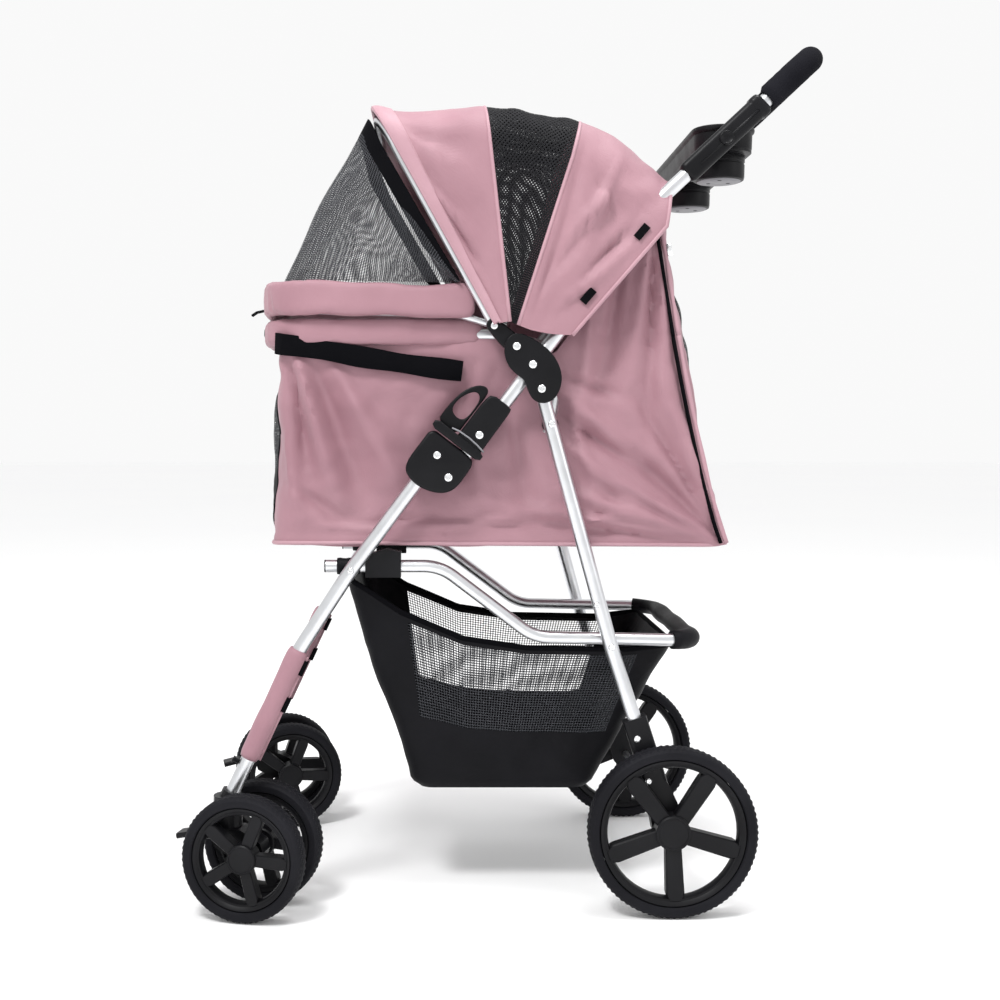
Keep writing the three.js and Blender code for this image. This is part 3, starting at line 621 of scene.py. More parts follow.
def tray():
    """The tray between the arms, with its two cup holders."""
    x, top = 265, 878
    rings = [(32, 147, 27, 852), (33, 148, 28, 854), (33.6, 148.6, 28.6, 870.5),
             (35.4, 151.2, 30.6, 872), (36, 152, 31, 874), (35.7, 151.7, 31, 877),
             (34.4, 150, 29.6, top), (31, 147, 27, top), (29.8, 145.6, 26, 876.5), (29, 144, 25, 854)]
    loops = [[(x + a, b, z) for a, b in round_rect(hx, hy, c, 10)] for hx, hy, c, z in rings]
    count = len(loops[0])
    points = [p for loop in loops for p in loop]
    faces = []
    for r in range(len(loops)):
        a, b = r * count, ((r + 1) % len(loops)) * count
        faces += [[a + k, a + (k + 1) % count, b + (k + 1) % count, b + k] for k in range(count)]
    obj = piece("tray_wall", points, faces, PLASTIC, "handle_frame", "black_plastic")
    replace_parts(sharp(obj, 40), "tray")
    deck = [(x + a, b) for a, b in round_rect(32.6, 147.6, 27.6, 10)]
    holes = [[(x + 26.5 * math.cos(t), y + 26.5 * math.sin(t)) for t in
              [-2 * math.pi * k / 40 for k in range(40)]] for y in (-98, 98)]
    flat = plate("tray_floor", [deck, *holes], 0, 4, -1, 0.6, PLASTIC, None, "black_plastic")
    for vertex in flat.data.vertices:
        px, py, pz = vertex.co
        vertex.co = (px, pz, 0.853 + py)
    flat.data.flip_normals()
    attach(flat, "handle_frame")
    for name, y in (("left", -98), ("right", 98)):
        side = [(0, 822), (18, 822), (26.8, 822), (28.6, 823), (29.4, 826), (29.8, 840),
                (29.1, 840.8), (29.1, 842.4), (30, 843.2), (30, 852), (26.7, 852), (26.5, 830),
                (25, 826.4), (0, 826)]
        profile = [(r, z - 822) for r, z in side]
        cup = piece(f"cup_{name}", *turned(profile, (x, y, 822), (0, 0, 1), 56), PLASTIC,
                    "handle_frame", "black_plastic")
        sharp(cup, 40)
        base = [(0, -0.9), (24.5, -0.9), (25.3, -0.2), (25.3, 0.2), (0, 0.2)]
        piece(f"cup_base_{name}", *turned(base, (x, y, 822), (0, 0, 1), 48), GREY_AND_HIGHLIGHT,
              "handle_frame", "black_plastic")
        # Each drain hole is a near-black disc: painted shade where the hole is.
        for k in range(3):
            t = 2 * math.pi * k / 3 + 0.4
            hole = [(0, -1.0), (2.4, -1.0), (2.4, -0.6), (0, -0.6)]
            centre = (x + 13 * math.cos(t), y + 13 * math.sin(t), 822)
            piece(f"cup_drain_{name}_{k + 1}", *turned(hole, centre, (0, 0, 1), 16), HOLLOW_SHADE,
                  "handle_frame", "black_plastic")
        clamp = swept([np.array([x - 12, math.copysign(154.5, y), 864.0]),
                       np.array([x + 12, math.copysign(154.5, y), 864.0])],
                      lambda s: round_rect(4.2, 5.8, 2, 3))
        piece(f"tray_clamp_{name}", *clamp, PLASTIC, "handle_frame", "black_plastic")


# ---- hinge plates and latches --------------------------------------------------------------------
def knee(along, left):
    return offset(KNEE, ARM_BEND, along, left)


def hinges():
    """The hinge plates, the arms of the hood's bow and the frame's rivets."""
    rx, rz = HOOD_HINGE
    outline = [(rx - 13, rz + 2), (rx - 9, rz + 11), (rx, rz + 15), (rx + 12, rz + 12), (56, 625),
               (68, 612), (75, 594), (73, 578), (66, 566), (54, 561), (43, 565), (37, 575),
               (33, 588), (24, 594), (15, 603), (rx - 14, rz - 8)]
    inner = 170 + 8.35
    for name, side in SIDES:
        cover = plate(f"hinge_cover_{name}", [softened(outline)], inner, inner + 4.9, side, 1.2,
                      PLASTIC, "handle_frame", "black_plastic")
        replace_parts(cover, f"hinge_plate_{name}")
        socket = [offset(BOW_FOOT, HOOD_HINGE, a, b) for a, b in
                  ((-9, -6), (-9, 6), (6, 9), (24, 10.5), (42, 9), (42, -9), (24, -10.5), (6, -9))]
        arm = plate(f"hood_socket_{name}", [softened(socket)], 165.2, 177.8, side, 1.8, PLASTIC,
                    "hood", "black_plastic")
        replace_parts(arm, f"hood_arm_{name}")
        rivet(f"rivet_bow_{name}", BOW_FOOT, 177.6, side, "hood")
        face = inner + 4.7
        rivet(f"rivet_hood_{name}", HOOD_HINGE, face, side, "handle_frame", 4.8)
        rivet(f"rivet_arm_{name}", (42.2, 604.9), face, side, "handle_frame", 4.8)
        rivet(f"rivet_fold_{name}", FOLD_HINGE, face, side, "handle_frame", 4.8)
        rivet(f"rivet_seat_{name}", SEAT_PIN, 177.6, side, "rear_frame", 4)
        rivet(f"rivet_leg_{name}", (113.5, 338.8), 177.6, side, "rear_frame", 3.4)
        rivet(f"rivet_basket_{name}", BASKET_REAR, 177.6, side, "rear_frame", 3.8)
        rivet(f"rivet_front_{name}", (-159.3, 376.6), 177.6, side, "front_frame", 3.8)
        rivet(f"rivet_bracket_{name}", (158, 190.7), 179.2, side, "rear_frame", 4)
        rivet(f"rivet_bracket_low_{name}", (170.3, 143.9), 179.2, side, "rear_frame", 4)


def latches():
    """The fold latch on each side: lower and upper body, slider and finger loop."""
    lower = [knee(-22, 44), knee(-10, 48), knee(32.8, 48), knee(32.8, -2), knee(30, -13),
             knee(6, -14.5), knee(-8, -13), knee(-18, -6), knee(-25, 7), knee(-28, 20),
             knee(-27, 34)]
    upper = [knee(34.2, -12), knee(34.2, 20), knee(92, 20), knee(103, 17), knee(103, -9),
             knee(98, -11)]
    band = [knee(33.6, -16), knee(43.6, -16.5), knee(44.6, 50), knee(34, 50)]
    loop = [knee(43, 48), knee(43, 21), knee(99, 20.6), knee(104, 23), knee(105.5, 28),
            knee(102, 35), knee(93, 42), knee(80, 46.5), knee(62, 48.5)]
    eye = [knee(*p) for p in ((58.5, 33), (61, 41), (68, 44), (80, 42.5), (92, 36), (95, 30),
                              (91, 24.5), (80, 22.8), (66, 23.4), (60, 26.5))]
    for name, side in SIDES:
        low = plate(f"latch_foot_{name}", [softened(lower)], 156.8, 183.2, side, 3.4, PLASTIC,
                    "front_frame", "black_plastic")
        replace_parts(low, f"latch_lower_{name}")
        top = plate(f"latch_neck_{name}", [softened(upper, 1)], 157.2, 182.8, side, 2.6, PLASTIC,
                    "handle_frame", "black_plastic")
        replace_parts(top, f"latch_upper_{name}")
        slider = plate(f"latch_band_{name}", [softened(band, 1)], 153.6, 186.4, side, 1.8, PLASTIC,
                       f"latch_slider_{name}", "black_plastic")
        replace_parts(slider, f"latch_slider_{name}")
        plate(f"latch_loop_{name}", [softened(loop, 1), softened(eye, 2)[::-1]], 165.8, 174.2,
              side, 1.5, PLASTIC, f"latch_slider_{name}", "black_plastic")
        # A thin grey ridge along each slider's edge: a painted highlight, standing in for the light
        # caught by that edge.
        line = [knee(*p) for p in ((46, 30), (48, 22), (48.6, 8), (47.6, -4), (45.6, -14))]
        smooth = refined([lift(p, side * 183.4) for p in line], 3)
        piece(f"latch_highlight_ridge_{name}", *swept(smooth, lambda s: circle(1.0, 10)), GREY_AND_HIGHLIGHT,
              f"latch_slider_{name}", "black_plastic")
        for tag, spot, body, r in (("a", (-63.5, 504.7), "front_frame", 4.6),
                                   ("b", KNEE, "front_frame", 4.8),
                                   ("c", (-16.8, 526.9), "handle_frame", 4.8)):
            rivet(f"rivet_latch_{tag}_{name}", spot, 182.6, side, body, r)


# ---- wheels --------------------------------------------------------------------------------------
def tyre_mesh(radius, width, depth, centre, axis, start, blocks, zigzag):
    """A tyre with its tread as geometry: blocks round it, in a zigzag or in straight ribs."""
    h = width / 2
    flat = [(radius - depth, -h * 0.8), (radius - depth + 1.2, -h * 0.93), (radius - 7, -h),
            (radius - 4.2, -h), (radius - 2.4, -h * 0.9), (radius - 1.2, -h * 0.74)]
    tread = [(radius - 0.2, h * w) for w in (-0.62, -0.45, -0.3, -0.15, 0, 0.15, 0.3, 0.45, 0.62)]
    mirrored = [(r, -a) for r, a in flat[::-1]]
    profile = flat + tread + mirrored
    sides = blocks * 4
    points, faces = lathe(profile, centre, axis, sides, start)
    axis = Vector(axis).normalized()
    n = len(profile)
    moved = []
    for i, p in enumerate(points):
        r, a = profile[i % n]
        if r > radius - 1.3:
            step = i // n
            phase = step + (abs(a) / h * 7 if zigzag else (2 if a > 0 else 0))
            low = 0.8 if (phase % 4) < 1.4 else 0.0
            groove = 0.9 if abs(abs(a) - 0.3 * h) < 0.5 and not zigzag else 0.0
            arm = Vector(p) - Vector(centre)
            arm -= axis * arm.dot(axis)
            p = tuple(Vector(p) - arm.normalized() * max(low, groove))
        moved.append(p)
    return moved, faces


def rim_mesh(radius, width, hub, inner, spoke, centre, axis, start, first):
    """A deep ring, five round-ended spokes and a flat hub disc."""
    h = width / 2
    ring = [(radius, -h * 0.74), (radius, h * 0.74), (radius - 1.2, h * 0.9),
            (radius - 3.2, h * 0.82), (inner + 3.0, h * 0.62), (inner + 0.9, h * 0.66),
            (inner, h * 0.5), (inner - 0.8, 0), (inner, -h * 0.5), (inner + 0.9, -h * 0.66),
            (inner + 3.0, -h * 0.62), (radius - 3.2, -h * 0.82), (radius - 1.2, -h * 0.9)]
    parts = [lathe(ring, centre, axis, 72, start)]
    hub_side = [(0, -h), (hub * 0.9, -h), (hub, -h + 1.3), (hub, h - 1.3), (hub * 0.92, h - 0.2),
                (hub * 0.86, h - 0.2), (hub * 0.84, h - 0.9), (0, h - 0.9)]
    parts.append(turned(hub_side, centre, axis, 40))
    axis = Vector(axis).normalized()
    u = Vector(start)
    v = axis.cross(u)
    for k in range(5):
        turn = first + 2 * math.pi * k / 5
        out = u * math.cos(turn) + v * math.sin(turn)
        across = axis.cross(out)
        for_half = []
        count = 16
        for s in range(count + 1):
            share = s / count
            along = hub * 0.6 + (inner + 2.6 - hub * 0.6) * share
            tip = max(0.0, (along - (inner - spoke * 0.32)) / (spoke * 0.32 + 2.6))
            wide = spoke * (0.42 + 0.08 * share) * math.sqrt(max(0.02, 1 - 0.72 * tip ** 2.2))
            for_half.append((along, wide))
        section = [(-1, 0.5), (-0.86, 0.62), (0.86, 0.62), (1, 0.5), (1, -0.5), (0.86, -0.62),
                   (-0.86, -0.62), (-1, -0.5)]
        points, faces = [], []
        for along, wide in for_half:
            for a, b in section:
                points.append(tuple(Vector(centre) + out * along + across * wide * a
                                    + axis * h * b * 1.12))
        n = len(section)
        for r in range(count):
            for j in range(n):
                faces.append([r * n + j, r * n + (j + 1) % n, (r + 1) * n + (j + 1) % n,
                              (r + 1) * n + j])
        faces += [list(range(n))[::-1], [count * n + j for j in range(n)]]
        parts.append((points, faces))
    return merged(parts)


def wheels():
    """All six tyres and their spoked rims."""
    for name, side in SIDES:
        centre, axis, start = lift(REAR_AXLE, side * 193.5), (0, -1, 0), (1, 0, 0)
        body = f"rear_wheel_{name}"
        first = math.radians(16)
        tyre = piece(f"rear_tread_{name}", *tyre_mesh(93, 26, 12.5, centre, axis, start, 84, False),
                     TYRE, body, "tyre")
        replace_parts(sharp(tyre, 32), f"rear_tyre_{name}")
        rim = piece(f"rear_spokes_{name}", *rim_mesh(80.3, 22, 19, 71.5, 20.5, centre, axis, start,
                                                     -first), WHEEL, body, "wheel_plastic")
        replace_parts(sharp(rim, 32), f"rear_rim_{name}")
        turn = math.radians(side * 12)
        for place, out in (("outer", side), ("inner", -side)):
            lx, ly = 30, out * 32.5
            centre = (-296 + lx * math.cos(turn) - ly * math.sin(turn),
                      side * 170 + lx * math.sin(turn) + ly * math.cos(turn), 68.5)
            axis = (math.sin(turn), -math.cos(turn), 0)
            start = (math.cos(turn), math.sin(turn), 0)
            body = f"front_wheel_{name}_{place}"
            tyre = piece(f"front_tread_{name}_{place}",
                         *tyre_mesh(68.5, 25, 12, centre, axis, start, 64, True), TYRE, body,
                         "tyre")
            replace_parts(sharp(tyre, 32), f"front_tyre_{name}_{place}")
            rim = piece(f"front_spokes_{name}_{place}",
                        *rim_mesh(56.4, 21, 16, 48, 15, centre, axis, start, -math.radians(3)),
                        WHEEL, body, "wheel_plastic")
            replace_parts(sharp(rim, 32), f"front_rim_{name}_{place}")


# ---- cloth ---------------------------------------------------------------------------------------
def cloth(name, grid, thick, materials, body, slot, closed=False, pick=None, cell=None):
    """A sheet of even thickness on a grid of points, its back side towards the object's inside.
    pick gives a face's material from its middle, and cell from its row and column."""
    g = np.array(grid, float)
    rows, columns = g.shape[:2]
    if closed:
        du = np.roll(g, -1, 1) - np.roll(g, 1, 1)
    else:
        du = np.gradient(g, axis=1)
    n = np.cross(du, np.gradient(g, axis=0))
    n /= np.maximum(np.linalg.norm(n, axis=2, keepdims=True), 1e-9)
    points = np.concatenate([g.reshape(-1, 3), (g - n * thick).reshape(-1, 3)])
    under = rows * columns
    faces = []
    last = columns if closed else columns - 1
    for r in range(rows - 1):
        for c in range(last):
            k, j = r * columns + c, r * columns + (c + 1) % columns
            faces.append([k, j, j + columns, k + columns])
            faces.append([under + k, under + k + columns, under + j + columns, under + j])
    edges = []
    for c in range(last):
        edges.append((c, (c + 1) % columns))
        edges.append(((rows - 1) * columns + (c + 1) % columns, (rows - 1) * columns + c))
    if not closed:
        for r in range(rows - 1):
            edges.append(((r + 1) * columns, r * columns))
            edges.append((r * columns + columns - 1, (r + 1) * columns + columns - 1))
    faces += [[j, k, under + k, under + j] for k, j in edges]
    faces = [f[::-1] for f in faces]
    across = np.linalg.norm(np.diff(g[rows // 2], axis=0), axis=1)
    down = np.linalg.norm(np.diff(g[:, columns // 3], axis=0), axis=1)
    u = np.tile(np.concatenate([[0], np.cumsum(across)]), (rows, 1)) * 0.001
    v = np.tile(np.concatenate([[0], np.cumsum(down)])[:, None], (1, columns)) * 0.001
    uv = np.stack([u, v], 2).reshape(-1, 2)
    picked = None
    if pick:
        picked = [pick(*points[f].mean(0)) for f in faces]
    if cell:
        picked = [cell(r, c) for r in range(rows - 1) for c in range(last) for _ in (0, 1)]
        picked += [0] * (len(faces) - len(picked))
    obj = piece(name, points, faces, materials, body, slot, picked, np.concatenate([uv, uv]))
    return sharp(obj, 70)


def crease(px, pz, lines):
    """Ridges and folds along straight lines in the side view, spreading away from their start."""
    total = np.zeros_like(px)
    for ax, az, bx, bz, width, depth in lines:
        dx, dz = bx - ax, bz - az
        t = np.clip(((px - ax) * dx + (pz - az) * dz) / (dx * dx + dz * dz), 0, 1)
        away = np.hypot(px - ax - t * dx, pz - az - t * dz)
        spread = np.maximum(4.5, width * (0.25 + 0.75 * t))
        fade = np.sin(math.pi * np.clip(t, .03, .97)) ** .7
        total += depth * np.exp(-(away / spread) ** 2) * fade
    return total


def rumple(points, size, seed):
    """Smooth uneven values from about -1 to 1 over points, bumps about size millimetres apart."""
    return np.array([noise.noise(Vector((p[0] / size + seed, p[1] / size - seed, p[2] / size)))
                     for p in points])


CABIN_TOP = [(-243, RIM_Z), (20, RIM_Z), (50, 618), (184, 780), (193, 792)]
SIDE_FOLDS = [
    (262, 404, 120, 545, 13, -5.5), (262, 404, 60, 470, 11, 5.5), (262, 404, 10, 432, 8, -4),
    (258, 410, 170, 640, 15, 5), (256, 415, 205, 640, 10, -5), (262, 404, 90, 505, 8, 4.5),
    (262, 404, 150, 590, 8, -4), (262, 404, -20, 455, 9, 3.5),
    (60, 585, 165, 505, 13, 5.5), (62, 560, 190, 470, 10, -5), (66, 530, 170, 440, 9, 4),
    (60, 600, 150, 570, 9, -4), (85, 560, 120, 450, 12, 4),
    (180, 768, 150, 560, 14, 4.5), (150, 742, 118, 560, 13, -5), (110, 690, 100, 540, 12, 4),
    (186, 770, 196, 600, 9, 4), (182, 760, 175, 520, 9, -3.5),
    (-236, 628, -205, 480, 12, -6.5), (-225, 630, -178, 455, 15, 7), (-210, 628, -140, 430, 17, -5),
    (-190, 622, -85, 440, 22, 6), (-225, 470, -150, 415, 14, -4), (-238, 540, -215, 420, 9, 3.5),
    (-20, 610, -60, 500, 20, -4), (-30, 560, -10, 440, 16, 4), (20, 560, 40, 430, 16, -4),
    (-90, 420, 40, 436, 7, 3.5), (-60, 433, 60, 420, 5, -3.5), (70, 424, 160, 440, 6, 3),
    (-160, 423, -60, 437, 6, -3), (150, 420, 235, 412, 5, 3), (-200, 425, -120, 418, 6, 3),
]


def rear_edge(share):
    """X of the cabin's rear edge, at a share of its height. It flares out at the foot."""
    return (262 + 7 * math.exp(-9 * max(0, share)) - 68 * share
            - 4 * math.sin(math.pi * min(1, max(0, share))))


def cabin_point(s, t, low, high):
    """Where a point of the cabin's wall is: s round the plan from the middle of the front, t the
    share of the way up from a lower line to an upper one, which depend on the share along X."""
    z = low(0.5) + (high(0.5) - low(0.5)) * t
    for _ in range(5):
        up = (z - 403) / 237
        x0 = -250 + 7 * up + 9 * math.sin(math.pi * min(1, max(0, up))) * (1 - 0.3 * up)
        back = (z - 403) / 389
        x1 = rear_edge(back)
        corner = 24 - 8 * min(1, back)
        straight = 2 * (146.5 - corner), x1 - x0 - 2 * corner
        quarter = corner * math.pi / 2
        x, y, nx, ny = rect_walk(s * (2 * sum(straight) + 4 * quarter), straight, quarter, corner)
        x += (x0 + x1) / 2
        share = min(1.0, max(0.0, (x - x0) / (x1 - x0)))
        z = low(share) + (high(share) - low(share)) * t
    return (x, y, z), (nx, ny)


def cabin_top(share):
    return float(np.interp(share, [(p[0] + 243) / 436 for p in CABIN_TOP],
                           [p[1] for p in CABIN_TOP]))


def rect_walk(d, straight, quarter, corner):
    """A point and outward direction at a distance round a rounded rectangle, from the front."""
    wy, wx = straight
    hx, hy = wx / 2 + corner, wy / 2 + corner
    legs = [wy / 2, quarter, wx, quarter, wy, quarter, wx, quarter, wy / 2]
    k = 0
    while k < 8 and d > legs[k]:
        d -= legs[k]
        k += 1
    if k == 0:
        return -hx, -d, -1, 0
    if k == 2:
        return -wx / 2 + d, -hy, 0, -1
    if k == 4:
        return hx, -wy / 2 + d, 1, 0
    if k == 6:
        return wx / 2 - d, hy, 0, 1
    if k == 8:
        return -hx, wy / 2 - d, -1, 0
    turn = {1: math.pi, 3: 1.5 * math.pi, 5: 0, 7: 0.5 * math.pi}[k] + d / corner
    cx = {1: -wx / 2, 3: wx / 2, 5: wx / 2, 7: -wx / 2}[k]
    cy = {1: -wy / 2, 3: -wy / 2, 5: wy / 2, 7: wy / 2}[k]
    nx, ny = math.cos(turn), math.sin(turn)
    return cx + corner * nx, cy + corner * ny, nx, ny


def cabin_wall(name, places, rows, low, high):
    """Part of the cabin's wall between two lines, with its folds, seams and bulging windows."""
    columns = len(places)
    grid = np.zeros((rows, columns, 3))
    out = np.zeros((rows, columns, 3))
    for r in range(rows):
        for c, s in enumerate(places):
            p, (nx, ny) = cabin_point(s, r / (rows - 1), low, high)
            grid[r, c] = p
            out[r, c] = (nx, ny, 0)
    x, y, z = grid[..., 0], grid[..., 1], grid[..., 2]
    on_side = np.abs(out[..., 1]) ** 2
    mirrored = np.where(y > 0, 1.0, 0.0)
    folds = crease(x + 7 * mirrored, z - 4 * mirrored, SIDE_FOLDS)
    flat = grid.reshape(-1, 3)
    broad = rumple(flat, 95, 3.1).reshape(rows, columns)
    fine = rumple(flat, 34, 7.7).reshape(rows, columns)
    tiny = rumple(flat, 15, 1.3).reshape(rows, columns)
    top = np.interp(x, [p[0] for p in CABIN_TOP], [p[1] for p in CABIN_TOP])
    ends = np.clip((z - 405) / 30, 0, 1) * np.clip((top - z) / 26, 0, 1)
    push = on_side * folds * (0.25 + 0.75 * ends) * 2.1
    push += (broad * 7.5 + fine * 4.0 + tiny * 1.1) * ends
    strap = np.interp(x, [-246, -222, -150, -35], [633, 627, 615, 598.6])
    push *= 1 - 0.85 * on_side * np.exp(-((z - strap) / 17) ** 4) * (x < -25)
    seam = np.abs((x - 7.7) * (402.6 - 617.2) - (z - 617.2) * (-60 - 7.7)) / 225
    push -= on_side * 1.6 * np.exp(-(seam / 1.6) ** 2) * (z < 618)
    push -= 1.5 * (np.exp(-((z - 417) / 1.6) ** 2) - 0.6 * np.exp(-((z - 408) / 5) ** 2))
    front = np.clip(-out[..., 0], 0, 1) ** 4
    back = np.clip(out[..., 0], 0, 1) ** 4
    window = np.exp(-((np.abs(y) / 112) ** 6)) * np.exp(-(np.abs(z - 505) / 82) ** 4)
    push += front * window * 19
    rear_window = np.exp(-((np.abs(y) / 108) ** 6)) * np.exp(-(np.abs(z - 622) / 78) ** 4)
    push += back * rear_window * 9
    grid += out * np.clip(push, -12, 13 + 8 * (front + back))[..., None]
    grid[..., 2] += np.where(z < 409, 1.4 * np.sin(x / 21.0) * on_side - 1.0, 0)

    def pick(px, py, pz):
        if px < -205 and abs(py) < 116 and 425 < pz < 590:
            edge = abs(py) > 110 or pz > 584 or pz < 432
            return 2 if edge else (1 if pz > 487 else 3)
        if px > 190 and abs(py) < 112 and 546 < pz < 700:
            return 2 if abs(py) > 106 or pz > 694 or pz < 552 else 1
        return 0

    round_it = places[-1] - places[0] > 0.9
    return cloth(name, grid, 1.6, [ROSE, DARK_NET, BLACK_TAPE, BLACK_CLOTH], None, "rose_fabric",
                 round_it, pick)


def cabin():
    count = 330
    low = cabin_wall("cabin_body", [c / count for c in range(count)], 60, lambda share: CABIN_FOOT,
                     lambda share: min(640.0, cabin_top(share)))
    behind = [c / count for c in range(count) if
              cabin_top(min(1.0, max(0.0, (cabin_point(c / count, 1, lambda q: CABIN_FOOT,
                                                       lambda q: 640.0)[0][0] + 243) / 463)))
              > 640.5]
    high = cabin_wall("cabin_back", behind, 34, lambda share: min(640.0, cabin_top(share)),
                      lambda share: max(640.0, cabin_top(share)))
    return low, high


def lofted(loops):
    """A closed solid through loops of equally many points, with flat ends."""
    count = len(loops[0])
    points = [p for loop in loops for p in loop]
    faces = []
    for r in range(len(loops) - 1):
        a, b = r * count, (r + 1) * count
        faces += [[a + k, a + (k + 1) % count, b + (k + 1) % count, b + k] for k in range(count)]
    last = (len(loops) - 1) * count
    return points, faces + [list(range(count))[::-1], [last + k for k in range(count)]]


def strip(name, line, width, thick, material, body, slot, normal=(0, -1, 0)):
    """A flat strap along a line. Its width lies across both the line and the normal."""
    line = [np.array(p, float) for p in line]
    n = np.array(normal, float)
    rings = []
    for i, p in enumerate(line):
        along = line[min(i + 1, len(line) - 1)] - line[max(i - 1, 0)]
        across = np.cross(n, along / np.linalg.norm(along))
        across /= np.linalg.norm(across)
        w, t = width / 2, thick / 2
        rings.append([tuple(p + across * a * w + n * b * t) for a, b in
                      ((-1, -0.6), (-0.97, 1), (0.97, 1), (1, -0.6), (0.97, -1), (-0.97, -1))])
    return sharp(piece(name, *lofted(rings), material, body, slot), 40)


def soften_by_cloth(obj, cap, voxel=0.0045, pressure=4.0):
    """Swells a padded piece with a short cloth simulation, then keeps each point near its start."""
    scene = bpy.context.scene
    for o in bpy.context.selected_objects:
        o.select_set(False)
    bpy.context.view_layer.objects.active = obj
    remesh = obj.modifiers.new("remesh", "REMESH")
    remesh.mode = "VOXEL"
    remesh.voxel_size = voxel
    remesh.use_smooth_shade = True
    bake(obj)
    start = np.array([v.co for v in obj.data.vertices])
    sim = obj.modifiers.new("swell", "CLOTH")
    sim.settings.use_pressure = True
    sim.settings.uniform_pressure_force = pressure
    sim.settings.effector_weights.gravity = 0
    sim.settings.shrink_min = -0.06
    sim.settings.bending_stiffness = 0.2
    sim.settings.quality = 4
    for step in range(1, 21):
        scene.frame_set(step)
    bake(obj)
    scene.frame_set(1)
    moved = np.array([v.co for v in obj.data.vertices]) - start
    length = np.linalg.norm(moved, axis=1, keepdims=True)
    moved *= np.minimum(1, cap / np.maximum(length, 1e-9))
    obj.data.vertices.foreach_set("co", (start + moved).ravel())
    obj.data.update()


def bake(obj):
    """Makes a piece's modifiers part of its mesh."""
    made = bpy.data.meshes.new_from_object(obj.evaluated_get(
        bpy.context.evaluated_depsgraph_get()))
    obj.modifiers.clear()
    obj.data = made
    made.polygons.foreach_set("use_smooth", [True] * len(made.polygons))


def rims():
    """The padded sleeve round the seat ring and the padded band round the gate."""
    held = [p for p in seat_path() if p[0] < -40]
    line = refined([lift((-14, RIM_Z), -142), *held, lift((-14, RIM_Z), 142)], 6)

    def low_section(share):
        end = min(share, 1 - share) * 900
        thin = 1 - 0.5 * math.exp(-end / 5)
        ripple = 0.5 * math.sin(share * 210) + 0.7 * math.sin(share * 97 + 1)
        return [(a * thin, b * thin + 3.5) for a, b in round_rect(9.5 + 0.4 * ripple,
                                                                 15.5 + 0.35 * ripple, 7, 4)]

    sleeve = piece("rim_sleeve", *swept(line, low_section), ROSE, None, "rose_fabric")
    soften_by_cloth(sleeve, 0.004)
    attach(sleeve, "rear_frame")
    level = lambda x: 677 - (x + 24) * 0.02
    side = [(-24, level(-24)), (-256, level(-256))]
    path = rounded_path([lift(p, -157) for p in side] + [lift(p, 157) for p in side[::-1]],
                        [58, 58])
    line = refined(path, 6)

    def high_section(share):
        end = min(share, 1 - share) * 900
        thin = 1 - 0.35 * math.exp(-end / 3)
        out = []
        for a, b in round_rect(7.4 * thin, 20 * thin, 5.5 * thin, 5):
            pinch = 1.3 * math.exp(-((b + 4) / 2.5) ** 2)
            out.append((a - math.copysign(pinch, a), b + 0.7 * math.sin(share * 60)))
        return out

    band = piece("gate_band", *swept(line, high_section), ROSE, None, "rose_fabric")
    soften_by_cloth(band, 0.0035)
    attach(band, "hood")
    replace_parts(band, "gate_sleeve")
    for name, side in SIDES:
        for k in range(5):
            x = -40 - 4.5 * k
            stitch = [lift((x, 672), side * 165.2), lift((x - 2.8, 672.4), side * 165.2)]
            piece(f"band_stitch_{name}_{k + 1}", *swept(stitch, lambda s: circle(0.5, 8)),
                  ROSE_EDGE, "hood", "rose_fabric")


# ---- hood ----------------------------------------------------------------------------------------
HOOPS = [((2, 650), (-113, 857), (-136, 897), 180.6), ((8, 651), (-86, 852), (-105, 894), 182),
         ((17, 652), (-5, 850), (-10, 898), 184), ((21, 650), (43, 848), (48, 893), 185),
         ((26, 648), (86, 834), (98, 880), 186), ((42, 642), (120, 806), (143, 857), 186),
         ((64, 638), (166, 774), (180, 828), 186), ((86, 637), (190, 757), (199, 812), 184.5)]


def hoop(foot, shoulder, top, half, corner, steps=13):
    flat = [(*between(foot, shoulder, s / steps), half) for s in range(steps)]
    for s in range(11):
        a = s / 10 * math.pi / 2
        x, z = between(shoulder, top, math.sin(a))
        flat.append((x, z, half - corner * (1 - math.cos(a))))
    edge = half - corner
    for s in range(1, 12):
        w = s / 12
        flat.append((top[0], top[1] + 4 * math.sin(w * math.pi / 2), edge * (1 - w)))
    left = [(x, -y, z) for x, z, y in flat]
    right = [(x, y, z) for x, z, y in flat[::-1]]
    return left + [(top[0], 0, top[1] + 4)] + right


def hoop_at(k):
    """The hood's hoop at any place between two of the listed ones, on a smooth curve."""
    i = min(int(k), len(HOOPS) - 2)
    w = k - i
    rows = [HOOPS[max(0, min(len(HOOPS) - 1, i + d))] for d in (-1, 0, 1, 2)]
    flat = [np.array([*f, *s, *t, h]) for f, s, t, h in rows]
    a, b, c, d = flat
    v = 0.5 * (2 * b + (c - a) * w + (2 * a - 5 * b + 4 * c - d) * w * w
               + (3 * b - a - 3 * c + d) * w ** 3)
    return tuple(v[0:2]), tuple(v[2:4]), tuple(v[4:6]), float(v[6])


HOOD_FOLDS = [
    (-110, 850, -30, 770, 9, 4), (-95, 830, -18, 735, 8, -4), (-70, 800, -8, 700, 7, 4),
    (-60, 770, 0, 680, 6, -3), (-112, 868, -20, 845, 10, 2.5), (-90, 850, -10, 800, 8, -3),
    (100, 858, 60, 690, 12, 3.5), (90, 690, 175, 780, 9, 3.5), (70, 670, 165, 745, 8, -3.5),
    (50, 662, 100, 672, 7, 4), (60, 668, 130, 705, 6, -3.5), (110, 820, 150, 760, 14, 4),
    (140, 830, 90, 720, 12, -4), (60, 700, 120, 770, 10, 3.5), (75, 740, 140, 800, 9, -3),
    (180, 780, 120, 790, 9, 3), (176, 772, 110, 730, 8, -3), (45, 664, 70, 740, 7, 3),
]


